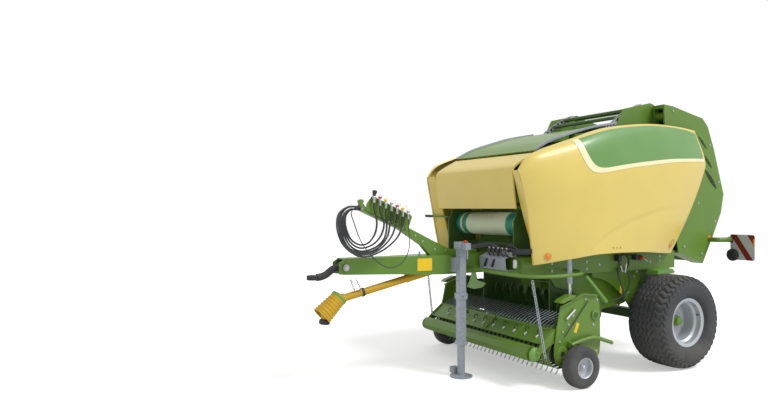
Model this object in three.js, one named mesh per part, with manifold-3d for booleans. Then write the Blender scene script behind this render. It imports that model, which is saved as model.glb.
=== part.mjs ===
// Round baler: a towed machine with a belt-and-slat bale chamber, a tine pickup, a net wrap unit,
// a drawbar on a parking jack and a rear gate that opens on two cylinders.
// Millimetres. +X is the machine's left side, -Y is the way it travels, +Z is up.
// The pieces are drawn from the wheel axle's middle (y = 0) and the ground (z = 0); the group is
// moved at the end so that its own origin is under the middle of its overall box.

import * as THREE from "three";
import { mergeVertices } from "three/addons/utils/BufferGeometryUtils.js";
import Module from "manifold-3d";

const wasm = await Module();
wasm.setup();

// ---------------------------------------------------------------- driving dimensions

const seatGap = 0.3; // between pieces that rest on or against each other
const runningGap = 0.1; // radial, between a shaft and its bore
const sweepGap = 8; // least room that a moving piece is given

const tyreDiameter = 1070;
const tyreWidth = 490;
const rimDiameter = 508;
const rimFlangeHeight = 25;
const rimWidth = 376;
const trackWidth = 2100;
const axleSize = 110;
const spindleRadius = 35;

const frameHalfWidth = 770;
const beamWidth = 90;
const beamBottom = 1110;
const beamTop = 1320;
const frameFront = -2040;
const frameRear = 400;
const frontBeamHalf = frameHalfWidth - 30;

const wallHalfGap = frameHalfWidth - 164; // inner faces of the bale chamber's side walls
const wallThickness = 16;

const drawbarHalfWidth = 150;
const drawbarNoseHalfWidth = 85;
const drawbarWall = 10;
const drawbarNose = -3850;

const gatePivot = { y: 260, z: 2980 };
const gateInner = frameHalfWidth - 130;
const gateOuter = frameHalfWidth + 30;
const gatePivotRadius = 25;
const gateSkin = 20;
const cylinderBase = { y: -760, z: 1420 };
const gatePin = { y: 520, z: 2300 };

const hoodHinge = { x: 856, z: 2780, radius: 9 };
const hoodHingePlaces = [-450, 60];
const hoodThickness = 22;
const netHoodHalfWidth = frameHalfWidth - 32;
const netHoodThickness = 20;
const netHoodAxis = { y: -1850, z: 2400 };
const netHoodPin = 12;

const pickupHalfWidth = 1060;
const pickupPlate = 12;
const feedRotor = { y: -1300, z: 700, radius: 215, tube: 75, shaft: 30 };
const pickupRotor = { y: -1770, z: 330, tube: 45, barCircle: 105, shaft: 20 };
const bandRadius = 150;
const bandThickness = 5;
const bandWidth = 124;
const bandCount = 12;
const liftPin = { y: -1540, z: 872 };
const liftBase = { y: -1560, z: 1400 };

const guideWheelDiameter = 430;
const guideWheelWidth = 150;
const guideWheelCentre = { x: pickupHalfWidth + 150, y: -1640 };
const guideSpindleRadius = 12;

const cropRoller = { y: -2092, z: 352, radius: 82, halfLength: 985 };
const cropPivot = { y: -1760, z: 560 };

const netRoll = { y: -1800, z: 1663, radius: 134, halfLength: wallHalfGap - 16, core: 38 };

const jack = { x: 262, y: -2465, tube: 80, wall: 5, leg: 60 };

// ---------------------------------------------------------------- materials

const paint = (color, roughness, metalness) =>
  new THREE.MeshStandardMaterial({ color, roughness, metalness });
const green = paint(0x55822f, 0.4, 0.1);
const darkGreen = paint(0x35521f, 0.5, 0.1);
const cream = paint(0xe6d383, 0.35, 0.0);
const galvanised = paint(0xa4abb2, 0.5, 0.8);
const castIron = paint(0x33363a, 0.6, 0.5);
const rubber = paint(0x3a3d42, 0.85, 0.0);
const guardYellow = paint(0xd9b62a, 0.5, 0.0);
const netWrap = paint(0xc9d0b4, 0.6, 0.0);
const signWhite = paint(0xd8dade, 0.5, 0.0);
const chromed = paint(0xc8ccd0, 0.2, 1.0);

// ---------------------------------------------------------------- solids

// A closed three.js geometry as a solid. A lathe's faces point the way its profile runs, so a
// solid that comes out inside out is turned round.
function solid(geometry) {
  const bare = geometry.clone();
  bare.deleteAttribute("normal");
  bare.deleteAttribute("uv");
  const merged = mergeVertices(bare, 1e-3);
  const corners = merged.index.array;
  const faces = [];
  for (let i = 0; i < corners.length; i += 3) {
    const [a, b, c] = [corners[i], corners[i + 1], corners[i + 2]];
    if (a !== b && b !== c && c !== a) faces.push(a, b, c);
  }
  const build = (triVerts) =>
    new wasm.Manifold(
      new wasm.Mesh({
        numProp: 3,
        vertProperties: new Float32Array(merged.attributes.position.array),
        triVerts: new Uint32Array(triVerts),
      }),
    );
  const made = build(faces);
  return made.volume() > 0 ? made : build(faces.reverse());
}

const join = (...pieces) => pieces.flat(Infinity).reduce((a, b) => a.add(b));
const cut = (piece, ...tools) => tools.flat(Infinity).reduce((a, b) => a.subtract(b), piece);

// A box between two values on each axis, given in either order.
function box(x, y, z) {
  const size = [x, y, z].map(([a, b]) => Math.abs(b - a));
  const middle = [x, y, z].map(([a, b]) => (a + b) / 2);
  return solid(new THREE.BoxGeometry(...size).translate(...middle));
}

const alongX = new THREE.Matrix4().makeBasis(
  new THREE.Vector3(0, 1, 0),
  new THREE.Vector3(0, 0, 1),
  new THREE.Vector3(1, 0, 0),
);
const alongY = new THREE.Matrix4().makeBasis(
  new THREE.Vector3(1, 0, 0),
  new THREE.Vector3(0, 0, 1),
  new THREE.Vector3(0, -1, 0),
);

function extruded(outline, depth) {
  const shape = outline instanceof THREE.Shape
    ? outline
    : new THREE.Shape(outline.map(([a, b]) => new THREE.Vector2(a, b)));
  return new THREE.ExtrudeGeometry(shape, { depth, bevelEnabled: false, curveSegments: 12 });
}

// A plate with its outline in y and z, from x0 to x1.
const plateX = (outline, x0, x1) =>
  solid(
    extruded(outline, Math.abs(x1 - x0))
      .applyMatrix4(alongX)
      .translate(Math.min(x0, x1), 0, 0),
  );

// A plate with its outline in x and z, from y0 to y1.
const plateY = (outline, y0, y1) =>
  solid(
    extruded(outline, Math.abs(y1 - y0))
      .applyMatrix4(alongY)
      .translate(0, Math.max(y0, y1), 0),
  );

// A plate with its outline in x and y, from z0 to z1.
const plateZ = (outline, z0, z1) =>
  solid(extruded(outline, Math.abs(z1 - z0)).translate(0, 0, Math.min(z0, z1)));

// A profile of [radius, x] points turned about a line along X through y and z.
function turned(profile, { x = 0, y = 0, z = 0 }, sides = 24) {
  const closed = profile[0][0] === 0 ? profile : [...profile, profile[0]];
  const points = closed.map(([radius, along]) => new THREE.Vector2(radius, along));
  return solid(new THREE.LatheGeometry(points, sides).rotateZ(-Math.PI / 2).translate(x, y, z));
}

// A disc or shaft along X.
const shaftX = (radius, x0, x1, { y, z }, sides = 16) =>
  turned([[0, x0], [radius, x0], [radius, x1], [0, x1]], { y, z }, sides);

// The radius of a faceted bore that a shaft of this radius turns in.
const bore = (radius, sides = 16) => (radius + runningGap) / Math.cos(Math.PI / sides);

// A round bar between two points.
function rod(from, to, radius, sides = 8) {
  const a = new THREE.Vector3(...from);
  const b = new THREE.Vector3(...to);
  const turn = new THREE.Quaternion().setFromUnitVectors(
    new THREE.Vector3(0, 1, 0),
    b.clone().sub(a).normalize(),
  );
  const geometry = new THREE.CylinderGeometry(radius, radius, a.distanceTo(b), sides);
  const middle = a.add(b).multiplyScalar(0.5);
  return solid(geometry.applyQuaternion(turn).translate(middle.x, middle.y, middle.z));
}

// A rectangular bar in the y-z plane between two [y, z] points, from x0 to x1.
function flatBar([y0, z0], [y1, z1], width, x0, x1) {
  const length = Math.hypot(y1 - y0, z1 - z0);
  const ny = (-(z1 - z0) / length) * (width / 2);
  const nz = ((y1 - y0) / length) * (width / 2);
  return plateX(
    [[y0 + ny, z0 + nz], [y0 - ny, z0 - nz], [y1 - ny, z1 - nz], [y1 + ny, z1 + nz]],
    x0,
    x1,
  );
}

// A round tube or hose along a smooth line through points.
function pipe(points, radius, sides = 8, steps = 24) {
  const curve = new THREE.CatmullRomCurve3(
    points.map((p) => new THREE.Vector3(...p)),
    false,
    "centripetal",
  );
  const section = new THREE.Shape();
  for (let i = 0; i < sides; i += 1) {
    const angle = (2 * Math.PI * i) / sides;
    const at = [radius * Math.cos(angle), radius * Math.sin(angle)];
    if (i) section.lineTo(...at);
    else section.moveTo(...at);
  }
  return solid(new THREE.ExtrudeGeometry(section, { steps, extrudePath: curve }));
}

// A closed skin between two surfaces, each a function of u and v from 0 to 1 that gives [x, y, z].
function skin(outer, inner, across, up) {
  const at = [];
  for (const surface of [outer, inner])
    for (let i = 0; i <= across; i += 1)
      for (let j = 0; j <= up; j += 1) at.push(...surface(i / across, j / up));
  const layer = (across + 1) * (up + 1);
  const id = (side, i, j) => side * layer + i * (up + 1) + j;
  const faces = [];
  const quad = (a, b, c, d) => faces.push(a, b, c, a, c, d);
  for (let i = 0; i < across; i += 1)
    for (let j = 0; j < up; j += 1) {
      quad(id(0, i, j), id(0, i + 1, j), id(0, i + 1, j + 1), id(0, i, j + 1));
      quad(id(1, i, j), id(1, i, j + 1), id(1, i + 1, j + 1), id(1, i + 1, j));
    }
  for (let i = 0; i < across; i += 1) {
    quad(id(1, i, 0), id(1, i + 1, 0), id(0, i + 1, 0), id(0, i, 0));
    quad(id(0, i, up), id(0, i + 1, up), id(1, i + 1, up), id(1, i, up));
  }
  for (let j = 0; j < up; j += 1) {
    quad(id(0, 0, j), id(0, 0, j + 1), id(1, 0, j + 1), id(1, 0, j));
    quad(id(1, across, j), id(1, across, j + 1), id(0, across, j + 1), id(0, across, j));
  }
  const geometry = new THREE.BufferGeometry();
  geometry.setAttribute("position", new THREE.BufferAttribute(new Float32Array(at), 3));
  geometry.setIndex(faces);
  return solid(geometry);
}

// A point at share t along a smooth line through [a, b] points.
function along(points, t) {
  const curve = new THREE.SplineCurve(points.map(([a, b]) => new THREE.Vector2(a, b)));
  return curve.getPoint(t);
}

// A point of the patch that four edge lines bound, in the y-z plane (a Coons patch).
function patch({ bottom, top, front, rear }, u, v) {
  const [b, t, f, r] = [along(bottom, u), along(top, u), along(front, v), along(rear, v)];
  const [fb, rb, ft, rt] = [along(bottom, 0), along(bottom, 1), along(top, 0), along(top, 1)];
  const mix = (axis) =>
    (1 - v) * b[axis] + v * t[axis] + (1 - u) * f[axis] + u * r[axis] -
    ((1 - u) * (1 - v) * fb[axis] + u * (1 - v) * rb[axis] +
      (1 - u) * v * ft[axis] + u * v * rt[axis]);
  return [mix("x"), mix("y")];
}

// ---------------------------------------------------------------- the object

const baler = new THREE.Group();
const pivots = {};

function add(name, piece, material) {
  const mesh = piece.getMesh();
  const geometry = new THREE.BufferGeometry();
  geometry.setAttribute("position", new THREE.BufferAttribute(mesh.vertProperties, 3));
  geometry.setIndex(new THREE.BufferAttribute(mesh.triVerts, 1));
  const made = new THREE.Mesh(geometry, material);
  made.name = name;
  baler.add(made);
}

const sides = [["left", 1], ["right", -1]];

// ---------------------------------------------------------------- wheels and axle

const wheelSides = 20;
const axleHeight = tyreDiameter / 2;
const rimRadius = rimDiameter / 2;
const flangeRadius = rimRadius + rimFlangeHeight;
const wheelX = trackWidth / 2;
const hubRadius = 62;
const discRadius = 112;
const hubInner = wheelX - 190; // distance from the machine's middle to the hub's inner end
const hubOuter = wheelX + 92;

function tyre(side) {
  const half = tyreWidth / 2;
  const bead = rimWidth / 2;
  const r = axleHeight;
  const seat = rimRadius + seatGap;
  const outside = [
    [seat, bead], [flangeRadius + 6, bead], [flangeRadius + 34, half - 12], [r - 130, half],
    [r - 40, half - 22], [r, half - 92],
  ];
  const inside = [[r - 36, half - 92], [r - 130, half - 30], [seat, bead - 22]];
  const flipped = (line) => line.map(([radius, x]) => [radius, -x]);
  const profile = [
    ...outside, ...flipped(outside).reverse(), ...flipped(inside).reverse(), ...inside,
  ];
  return turned(profile, { x: side * wheelX, y: 0, z: axleHeight }, wheelSides);
}

function rim(side) {
  const edge = rimWidth / 2 + seatGap;
  const well = rimRadius - 36;
  const wall = 8;
  const outline = [
    [flangeRadius, edge + 11], [flangeRadius, edge], [rimRadius, edge], [well, 104],
    [well, -104], [rimRadius, -edge], [flangeRadius, -edge], [flangeRadius, -edge - 11],
    [rimRadius - wall, -edge], [well - wall, -108], [well - wall, 108], [rimRadius - wall, edge],
  ];
  const inboard = -side;
  const disc = [
    [hubRadius + 1, 42 * inboard], [hubRadius + 1, 52 * inboard], [150, 52 * inboard],
    [well - 4, 20 * inboard], [146, 42 * inboard],
  ];
  const centre = { x: side * wheelX, y: 0, z: axleHeight };
  return join(turned(outline, centre, wheelSides), turned(disc, centre, wheelSides));
}

function hub(side) {
  const discFace = wheelX - 52 - seatGap;
  const hole = bore(spindleRadius);
  const profile = [
    [hole, hubInner], [hubRadius + 12, hubInner], [hubRadius + 12, discFace - 26],
    [discRadius, discFace - 26], [discRadius, discFace], [hubRadius, discFace],
    [hubRadius, hubOuter - 12], [hubRadius - 12, hubOuter], [0, hubOuter], [0, hubOuter - 40],
    [hole, hubOuter - 40],
  ].map(([radius, x]) => [radius, side * x]);
  const start = profile.findIndex(([radius]) => radius === 0) + 1;
  const ordered = [...profile.slice(start), ...profile.slice(0, start)];
  return turned(ordered, { y: 0, z: axleHeight }, 16);
}

for (const [name, side] of sides) {
  add(`tyre_${name}`, tyre(side), rubber);
  add(`rim_${name}`, rim(side), galvanised);
  add(`hub_${name}`, hub(side), green);
  pivots[`wheel_${name}`] = [side * wheelX, 0, axleHeight];
}

const axleEnd = hubInner - 40;
const axleTop = axleHeight + axleSize / 2;
add(
  "axle",
  join(
    box([-axleEnd, axleEnd], [-axleSize / 2, axleSize / 2], [axleHeight - axleSize / 2, axleTop]),
    sides.map(([, side]) =>
      shaftX(spindleRadius, side * (axleEnd - 10), side * (hubOuter - 60), { y: 0, z: axleHeight }),
    ),
  ),
  darkGreen,
);

// ---------------------------------------------------------------- main frame

const beamInner = frameHalfWidth - beamWidth;
const cylinderX = frameHalfWidth - 70;
const gateEyeHalf = 30;
const liftEyeHalf = 20;
const liftX = frameHalfWidth + 195;

function frame() {
  const sidePlate = new THREE.Shape();
  sidePlate.moveTo(-930, beamBottom + 20);
  sidePlate.lineTo(-930, beamBottom - 60);
  sidePlate.quadraticCurveTo(-560, 1010, -300, 640);
  sidePlate.lineTo(-240, axleTop + seatGap);
  sidePlate.lineTo(240, axleTop + seatGap);
  sidePlate.lineTo(330, 760);
  sidePlate.lineTo(frameRear, beamBottom - 20);
  sidePlate.lineTo(frameRear, beamBottom + 20);
  const foot = [axleTop + seatGap, axleTop + seatGap + 16];
  return join(
    box([-frontBeamHalf, frontBeamHalf], [frameFront, frameFront + 110], [beamBottom, beamTop]),
    sides.map(([, side]) =>
      join(
        box([side * beamInner, side * frameHalfWidth], [frameFront, frameRear], [beamBottom, beamTop]),
        plateX(sidePlate, side * beamInner, side * (beamInner + 14)),
        box([side * (beamInner - 10), side * (beamInner + 60)], [-240, 240], foot),
        box([side * (cylinderX + 46), side * frameHalfWidth], [-820, -700], [beamTop - 10, 1470]),
        shaftX(20, side * (cylinderX - 40), side * (cylinderX + 50), cylinderBase),
        box([side * (frameHalfWidth - 24), side * frameHalfWidth], [-1620, -1500], [beamTop - 10, 1440]),
        shaftX(28, side * (frameHalfWidth - 10), side * (liftX - 40), liftBase),
        shaftX(15, side * (liftX - 50), side * (liftX + 36), liftBase),
      ),
    ),
  );
}

add("main_frame", frame(), green);

// ---------------------------------------------------------------- bale chamber

const chamberOutline = [
  [-1560, 1150], [-1500, 2050], [-1330, 2440], [-1000, 2690], [-560, 2790], [-440, 2850],
  [-320, 3050], [150, 3155], [215, 3140], [316, 3020], [316, 2940], [190, 2860], [150, 1250],
  [60, 860], [-350, 700], [-860, 640], [-1180, 900], [-1430, 960],
];
const wallOuter = wallHalfGap + wallThickness;

// An arm on the chamber's wall that ends in the pin of a side hood's hinge.
function hoodHingeArm(side, y) {
  const { x, z, radius } = hoodHinge;
  return join(
    box([side * (wallOuter - 4), side * (x + 11)], [y - 12, y + 12], [z - 55, z - 20]),
    box([side * (x - 11), side * (x + 11)], [y - 12, y + 12], [z - 40, z + 11]),
    rod([side * x, y - 40, z], [side * x, y + 40, z], radius),
  );
}

function chamber() {
  const beamFace = beamInner - seatGap;
  const across = wallHalfGap + 4;
  return join(
    sides.map(([, side]) =>
      join(
        plateX(chamberOutline, side * wallHalfGap, side * wallOuter),
        box([side * (wallOuter - 4), side * beamFace], [-1420, -1320], [1140, 1260]),
        box([side * (wallOuter - 4), side * beamFace], [-20, 80], [1140, 1260]),
        shaftX(gatePivotRadius, side * (wallOuter - 4), side * (gateOuter - gateSkin - 10), gatePivot),
        hoodHingePlaces.map((y) => hoodHingeArm(side, y)),
      ),
    ),
    rod([-across, -1440, 1230], [across, -1440, 1230], 45),
    rod([-across, -1180, 2440], [across, -1180, 2440], 38),
    rod([-across, 150, 3100], [across, 150, 3100], 26),
    rod([-across, -420, 820], [across, -420, 820], 95, 12),
    rod([-across, -60, 960], [across, -60, 960], 70, 12),
  );
}

add("front_chamber", chamber(), green);

// A run of chain and slats along a smooth line in the y-z plane. Stub shafts carry it on the two
// walls whose faces are wallAt from the middle.
function elevator(points, count, wallAt) {
  const curve = new THREE.SplineCurve(points.map(([y, z]) => new THREE.Vector2(y, z)));
  const chainX = wallHalfGap - 46;
  const half = 16;
  const strip = [];
  const far = [];
  for (let i = 0; i <= count; i += 1) {
    const p = curve.getPointAt(i / count);
    const t = curve.getTangentAt(i / count);
    strip.push([p.x - t.y * half, p.y + t.x * half]);
    far.unshift([p.x + t.y * half, p.y - t.x * half]);
  }
  const slats = [];
  for (let i = 0; i < count; i += 1) {
    const p = curve.getPointAt((i + 0.5) / count);
    slats.push(rod([-chainX - 6, p.x, p.y], [chainX + 6, p.x, p.y], 24, 6));
  }
  const stubs = sides.flatMap(([, side]) =>
    [0.2, 0.8].map((share) => {
      const p = curve.getPointAt(share);
      return shaftX(18, side * chainX, side * (wallAt - seatGap), { y: p.x, z: p.y }, 8);
    }),
  );
  return join(
    sides.map(([, side]) => plateX([...strip, ...far], side * chainX, side * (chainX + 22))),
    slats,
    stubs,
  );
}

const frontRun = [
  [-760, 1180], [-1010, 1560], [-1060, 2050], [-900, 2480], [-600, 2745], [-300, 2975], [-20, 3105],
];
add("front_elevator", elevator(frontRun, 11, wallHalfGap), darkGreen);

// Feed channel: the rotor's housing between the pickup and the chamber.
function feedHousing() {
  const inside = wallHalfGap - seatGap;
  const plate = [
    [-1500, 640], [-1500, 1130], [-1100, 1160], [-880, 960], [-900, 660], [-1050, 440], [-1420, 430],
  ];
  const trough = new THREE.Shape();
  const r = feedRotor.radius + 24;
  trough.absarc(feedRotor.y, feedRotor.z, r + 10, Math.PI * 1.2, Math.PI * 1.95, false);
  trough.absarc(feedRotor.y, feedRotor.z, r, Math.PI * 1.95, Math.PI * 1.2, true);
  return join(
    sides.map(([, side]) =>
      cut(
        plateX(plate, side * (inside - 14), side * inside),
        shaftX(bore(feedRotor.shaft), side * (inside - 30), side * (inside + 10), feedRotor),
      ),
    ),
    plateX(trough, -inside + 4, inside - 4),
    flatBar([-1490, 1010], [-1110, 1150], 12, -inside + 4, inside - 4),
  );
}

add("feed_housing", feedHousing(), darkGreen);

function rotor() {
  const discs = [];
  const count = 6;
  const arms = 4;
  const reach = wallHalfGap - 60;
  for (let i = 0; i < count; i += 1) {
    const x = -reach + (2 * reach * i) / (count - 1);
    const points = [];
    for (let k = 0; k < arms; k += 1) {
      const start = (2 * Math.PI * k) / arms + i * 0.28;
      const at = (radius, angle) => [
        feedRotor.y + radius * Math.cos(angle),
        feedRotor.z + radius * Math.sin(angle),
      ];
      points.push(at(feedRotor.radius, start), at(92, start + 0.5), at(84, start + 1.2));
    }
    discs.push(plateX(points, x - 4, x + 4));
  }
  const augers = sides.flatMap(([, side]) =>
    [700, 830, 960].map((x) => shaftX(165, side * (x - 3), side * (x + 3), feedRotor, 12)),
  );
  const cores = sides.map(([, side]) =>
    shaftX(70, side * (wallHalfGap + 34), side * (pickupHalfWidth - 40), feedRotor, 10),
  );
  const end = pickupHalfWidth + 28;
  return join(
    shaftX(feedRotor.shaft, -end, end, feedRotor),
    shaftX(feedRotor.tube, -reach - 20, reach + 20, feedRotor, 10),
    discs,
    cores,
    augers,
  );
}

add("feed_rotor", rotor(), darkGreen);
pivots.feed_rotor = [0, feedRotor.y, feedRotor.z];

// ---------------------------------------------------------------- roof and net wrap

const roofLine = [[-1822, 2476], [-1600, 2584], [-1300, 2680], [-970, 2770], [-560, 2846]];
const roofHalfWidth = frameHalfWidth - 58;
const roofThickness = 14;

function roof() {
  const outer = (u, v) => {
    const p = along(roofLine, u);
    return [roofHalfWidth * (2 * v - 1), p.x, p.y];
  };
  const inner = (u, v) => {
    const [x, y, z] = outer(u, v);
    return [x, y, z - roofThickness];
  };
  const stays = sides.map(([, side]) =>
    box([side * (wallOuter + seatGap), side * (roofHalfWidth - 20)], [-1220, -1190], [2500, 2696]),
  );
  return join(skin(outer, inner, 8, 1), stays);
}

add("roof_cover", roof(), green);

const cheekFace = wallHalfGap + 6; // the net roll cradle's inner faces
const earFace = wallHalfGap - 46; // the net hood's hinge ears
const netHoodLine = [
  [-2098, 1842], [-2116, 1950], [-2128, 2080], [-2138, 2240], [-2105, 2302], [-1990, 2372],
  [-1838, 2448],
];

function netHood() {
  const face = (u, v, depth) => {
    const p = along(netHoodLine, u);
    const ahead = along(netHoodLine, Math.min(1, u + 0.01));
    const behind = along(netHoodLine, Math.max(0, u - 0.01));
    const d = ahead.sub(behind).normalize();
    return [netHoodHalfWidth * (2 * v - 1), p.x + d.y * depth, p.y - d.x * depth];
  };
  const outer = (u, v) => face(u, v, 0);
  const inner = (u, v) => face(u, v, netHoodThickness);
  const ear = [[-1880, 2394], [-1895, 2420], [-1850, 2440], [-1832, 2440], [-1826, 2396], [-1850, 2376]];
  const ears = sides.map(([, side]) =>
    cut(
      plateX(ear, side * earFace, side * (earFace + 20)),
      shaftX(bore(netHoodPin), side * (earFace - 10), side * (earFace + 30), netHoodAxis),
    ),
  );
  return join(skin(outer, inner, 10, 1), ears);
}

add("net_hood", netHood(), cream);
pivots.net_hood = [0, netHoodAxis.y, netHoodAxis.z];

// The net roll's cradle: two cheeks on the frame's front beam, with the net hood's hinge arms.
const netCore = netRoll.core - 4;

function cradle() {
  const base = beamTop + seatGap;
  const cheek = [
    [-2030, base], [-2030, 1700], [-1960, 1830], [-1850, 1860], [-1700, 1860], [-1640, 1700],
    [-1600, base],
  ];
  return join(
    sides.map(([, side]) =>
      join(
        plateX(cheek, side * cheekFace, side * (cheekFace + 14)),
        box([side * cheekFace, side * (frontBeamHalf - 20)], [-2030, -1620], [base, base + 12]),
        shaftX(netCore, side * (netRoll.halfLength - 40), side * (cheekFace + 8), netRoll),
        flatBar([-1740, 1840], [netHoodAxis.y, netHoodAxis.z], 40,
          side * (cheekFace - 14), side * (cheekFace + 14)),
        shaftX(netHoodPin, side * (earFace - 15), side * (cheekFace + 8), netHoodAxis),
      ),
    ),
    rod([-cheekFace - 8, -1680, 1420], [cheekFace + 8, -1680, 1420], 30),
    rod([-cheekFace - 8, -1710, 1800], [cheekFace + 8, -1710, 1800], 22),
  );
}

add("net_cradle", cradle(), darkGreen);

add(
  "net_roll",
  turned(
    [
      [bore(netCore), -netRoll.halfLength], [netRoll.radius, -netRoll.halfLength],
      [netRoll.radius, netRoll.halfLength], [bore(netCore), netRoll.halfLength],
    ],
    netRoll,
    16,
  ),
  netWrap,
);
pivots.net_roll = [0, netRoll.y, netRoll.z];

// ---------------------------------------------------------------- side hoods

const hoodEdges = {
  bottom: [[-1985, 1248], [-1600, 1306], [-1190, 1350], [-520, 1347], [-100, 1318], [200, 1300]],
  top: [[-2185, 2243], [-2000, 2420], [-1424, 2611], [-938, 2752], [-268, 2841], [276, 2846], [658, 2813]],
  front: [[-1985, 1248], [-2050, 1600], [-2100, 1885], [-2185, 2243]],
  rear: [[200, 1300], [520, 1780], [829, 2243], [869, 2463], [658, 2813]],
};
const hoodFoldX = 920;
const hoodWidestX = 1100;
const hoodRearX = 862;
const hoodTopX = 872;

// How far the hood's outer face lies from the middle. It bulges between the front fold and the
// rear edge, and rounds over towards its top edge.
function hoodX(u, v) {
  const rise = u < 0.4 ? Math.sin((Math.PI / 2) * (u / 0.4)) : Math.cos((Math.PI / 2) * ((u - 0.4) / 0.6));
  const edge = hoodFoldX + (hoodRearX - hoodFoldX) * u;
  const mid = edge + (hoodWidestX - (hoodFoldX + hoodRearX) / 2) * rise;
  const over = Math.max(0, v - 0.55) / 0.45;
  const round = 1 - Math.sqrt(Math.max(0, 1 - over ** 2.4));
  return mid + (hoodTopX - mid) * round - 26 * (1 - v) ** 3;
}

// The height of the hood's top edge at a place along the machine.
function hoodTopAt(y) {
  let u = 0;
  while (along(hoodEdges.top, u).x < y) u += 0.01;
  return along(hoodEdges.top, u).y;
}

function hood(side) {
  const lean = (v) => (Math.PI / 3) * Math.max(0, (v - 0.5) / 0.5) ** 2;
  const outer = (u, v) => {
    const [y, z] = patch(hoodEdges, u, v);
    return [side * hoodX(u, v), y, z];
  };
  const inner = (u, v) => {
    const [x, y, z] = outer(u, v);
    return [x - side * hoodThickness * Math.cos(lean(v)), y, z - hoodThickness * Math.sin(lean(v))];
  };
  // The front strip runs from the fold inwards to the net hood's side edge.
  const stripInner = netHoodHalfWidth + 14;
  const strip = (u, v) => {
    const [x, y, z] = outer(0, v);
    const back = (1 - u) * (40 + 110 * (1 - v) ** 2);
    const edge = stripInner + 30 * (1 - v) ** 2;
    return [side * (edge + (Math.abs(x) - edge) * u), y + back, z];
  };
  const stripBack = (u, v) => {
    const [x, y, z] = strip(u, v);
    return [x, y + hoodThickness, z];
  };
  const { x, z } = hoodHinge;
  const lugs = hoodHingePlaces.flatMap((y) =>
    [-1, 1].map((end) => {
      const top = hoodTopAt(y) - 14;
      const outline = [
        [side * (x - 13), z - 12], [side * (x + 13), z - 12], [side * (x + 15), top],
        [side * (x + 4), top + 6],
      ];
      const at = y + end * 26;
      return cut(
        plateY(outline, at - 7, at + 7),
        rod([side * x, y - 60, z], [side * x, y + 60, z], bore(hoodHinge.radius, 8)),
      );
    }),
  );
  return join(skin(outer, inner, 12, 8), skin(strip, stripBack, 2, 8), lugs);
}

for (const [name, side] of sides) {
  add(`hood_${name}`, hood(side), cream);
  pivots[`hood_${name}`] = [side * hoodHinge.x, 0, hoodHinge.z];
}

// ---------------------------------------------------------------- rear gate

const gateOutline = [
  [182, 3118], [347, 3105], [918, 2991], [1020, 2893], [1141, 2609], [1335, 2029], [1280, 1790],
  [1088, 1447], [903, 1139], [440, 1290], [340, 1700], [195, 2860],
];
const gateInset = [
  [120, 3076], [340, 3070], [890, 2955], [985, 2872], [1104, 2596], [1294, 2027], [1243, 1806],
  [1055, 1466], [885, 1186], [480, 1318], [240, 1318], [100, 2860],
];
const gateWall = 12;
const gatePinRadius = 26;

function gate() {
  const hole = bore(gatePivotRadius);
  const skinFace = gateOuter - gateSkin;
  const across = gateInner + 20;
  const boss = (side) => [
    [hole, side * gateInner], [52, side * gateInner], [52, side * (skinFace + 4)],
    [hole, side * (skinFace + 4)],
  ];
  return join(
    sides.map(([, side]) =>
      cut(
        join(
          cut(
            plateX(gateOutline, side * gateInner, side * gateOuter),
            plateX(gateInset, side * (gateInner + gateWall), side * skinFace),
          ),
          turned(boss(side), gatePivot, 16),
        ),
        shaftX(hole, side * (gateInner - 10), side * (skinFace + 1), gatePivot),
      ),
    ),
    sides.map(([, side]) => [
      shaftX(gatePinRadius, side * (gateInner + 4), side * (cylinderX - gateEyeHalf - seatGap), gatePin),
      shaftX(gatePinRadius, side * (cylinderX + gateEyeHalf + seatGap), side * (skinFace + 4), gatePin),
    ]),
    rod([-across, 940, 2935], [across, 940, 2935], 40),
    rod([-across, 1290, 2020], [across, 1290, 2020], 36),
    rod([-across, 900, 1200], [across, 900, 1200], 40),
    rod([-across, 1092, 2640], [across, 1092, 2640], 22),
  );
}

add("rear_gate", gate(), green);
pivots.rear_gate = [0, gatePivot.y, gatePivot.z];

const rearRun = [[330, 2990], [760, 2830], [990, 2540], [1130, 2030], [1030, 1600], [780, 1320]];
add("rear_elevator", elevator(rearRun, 9, gateInner), darkGreen);

// ---------------------------------------------------------------- cylinders

// A barrel from one eye towards another, and the rod that slides in it. Both lie in a y-z plane.
function cylinderPair(base, pin, { x, barrelLength, barrelRadius, rodRadius, eye, eyeHalf, pistonAt }) {
  const direction = new THREE.Vector2(pin.y - base.y, pin.z - base.z).normalize();
  const at = (distance) => [x, base.y + direction.x * distance, base.z + direction.y * distance];
  const length = Math.hypot(pin.y - base.y, pin.z - base.z);
  const eyeDisc = (centre) => shaftX(eye, x - eyeHalf, x + eyeHalf, centre);
  const barrel = cut(
    join(rod(at(eye * 0.7), at(barrelLength), barrelRadius, 12), eyeDisc(base)),
    rod(at(eye + 40), at(barrelLength + 10), rodRadius + 0.6, 12),
    shaftX(bore(eye / 2), x - eyeHalf - 10, x + eyeHalf + 10, base),
  );
  const piston = join(rod(at(pistonAt), at(length - eye * 0.7), rodRadius, 12), eyeDisc(pin));
  return [barrel, piston];
}

function addCylinders(kind, base, pin, sizes, material) {
  for (const [name, side] of sides) {
    const [barrel, piston] = cylinderPair(base, pin, { ...sizes, x: side * sizes.x });
    add(`${kind}_cylinder_${name}`, barrel, material);
    add(`${kind}_rod_${name}`, piston, chromed);
  }
  pivots[`${kind}_base`] = [sizes.x, base.y, base.z];
  pivots[`${kind}_pin`] = [sizes.x, pin.y, pin.z];
}

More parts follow.
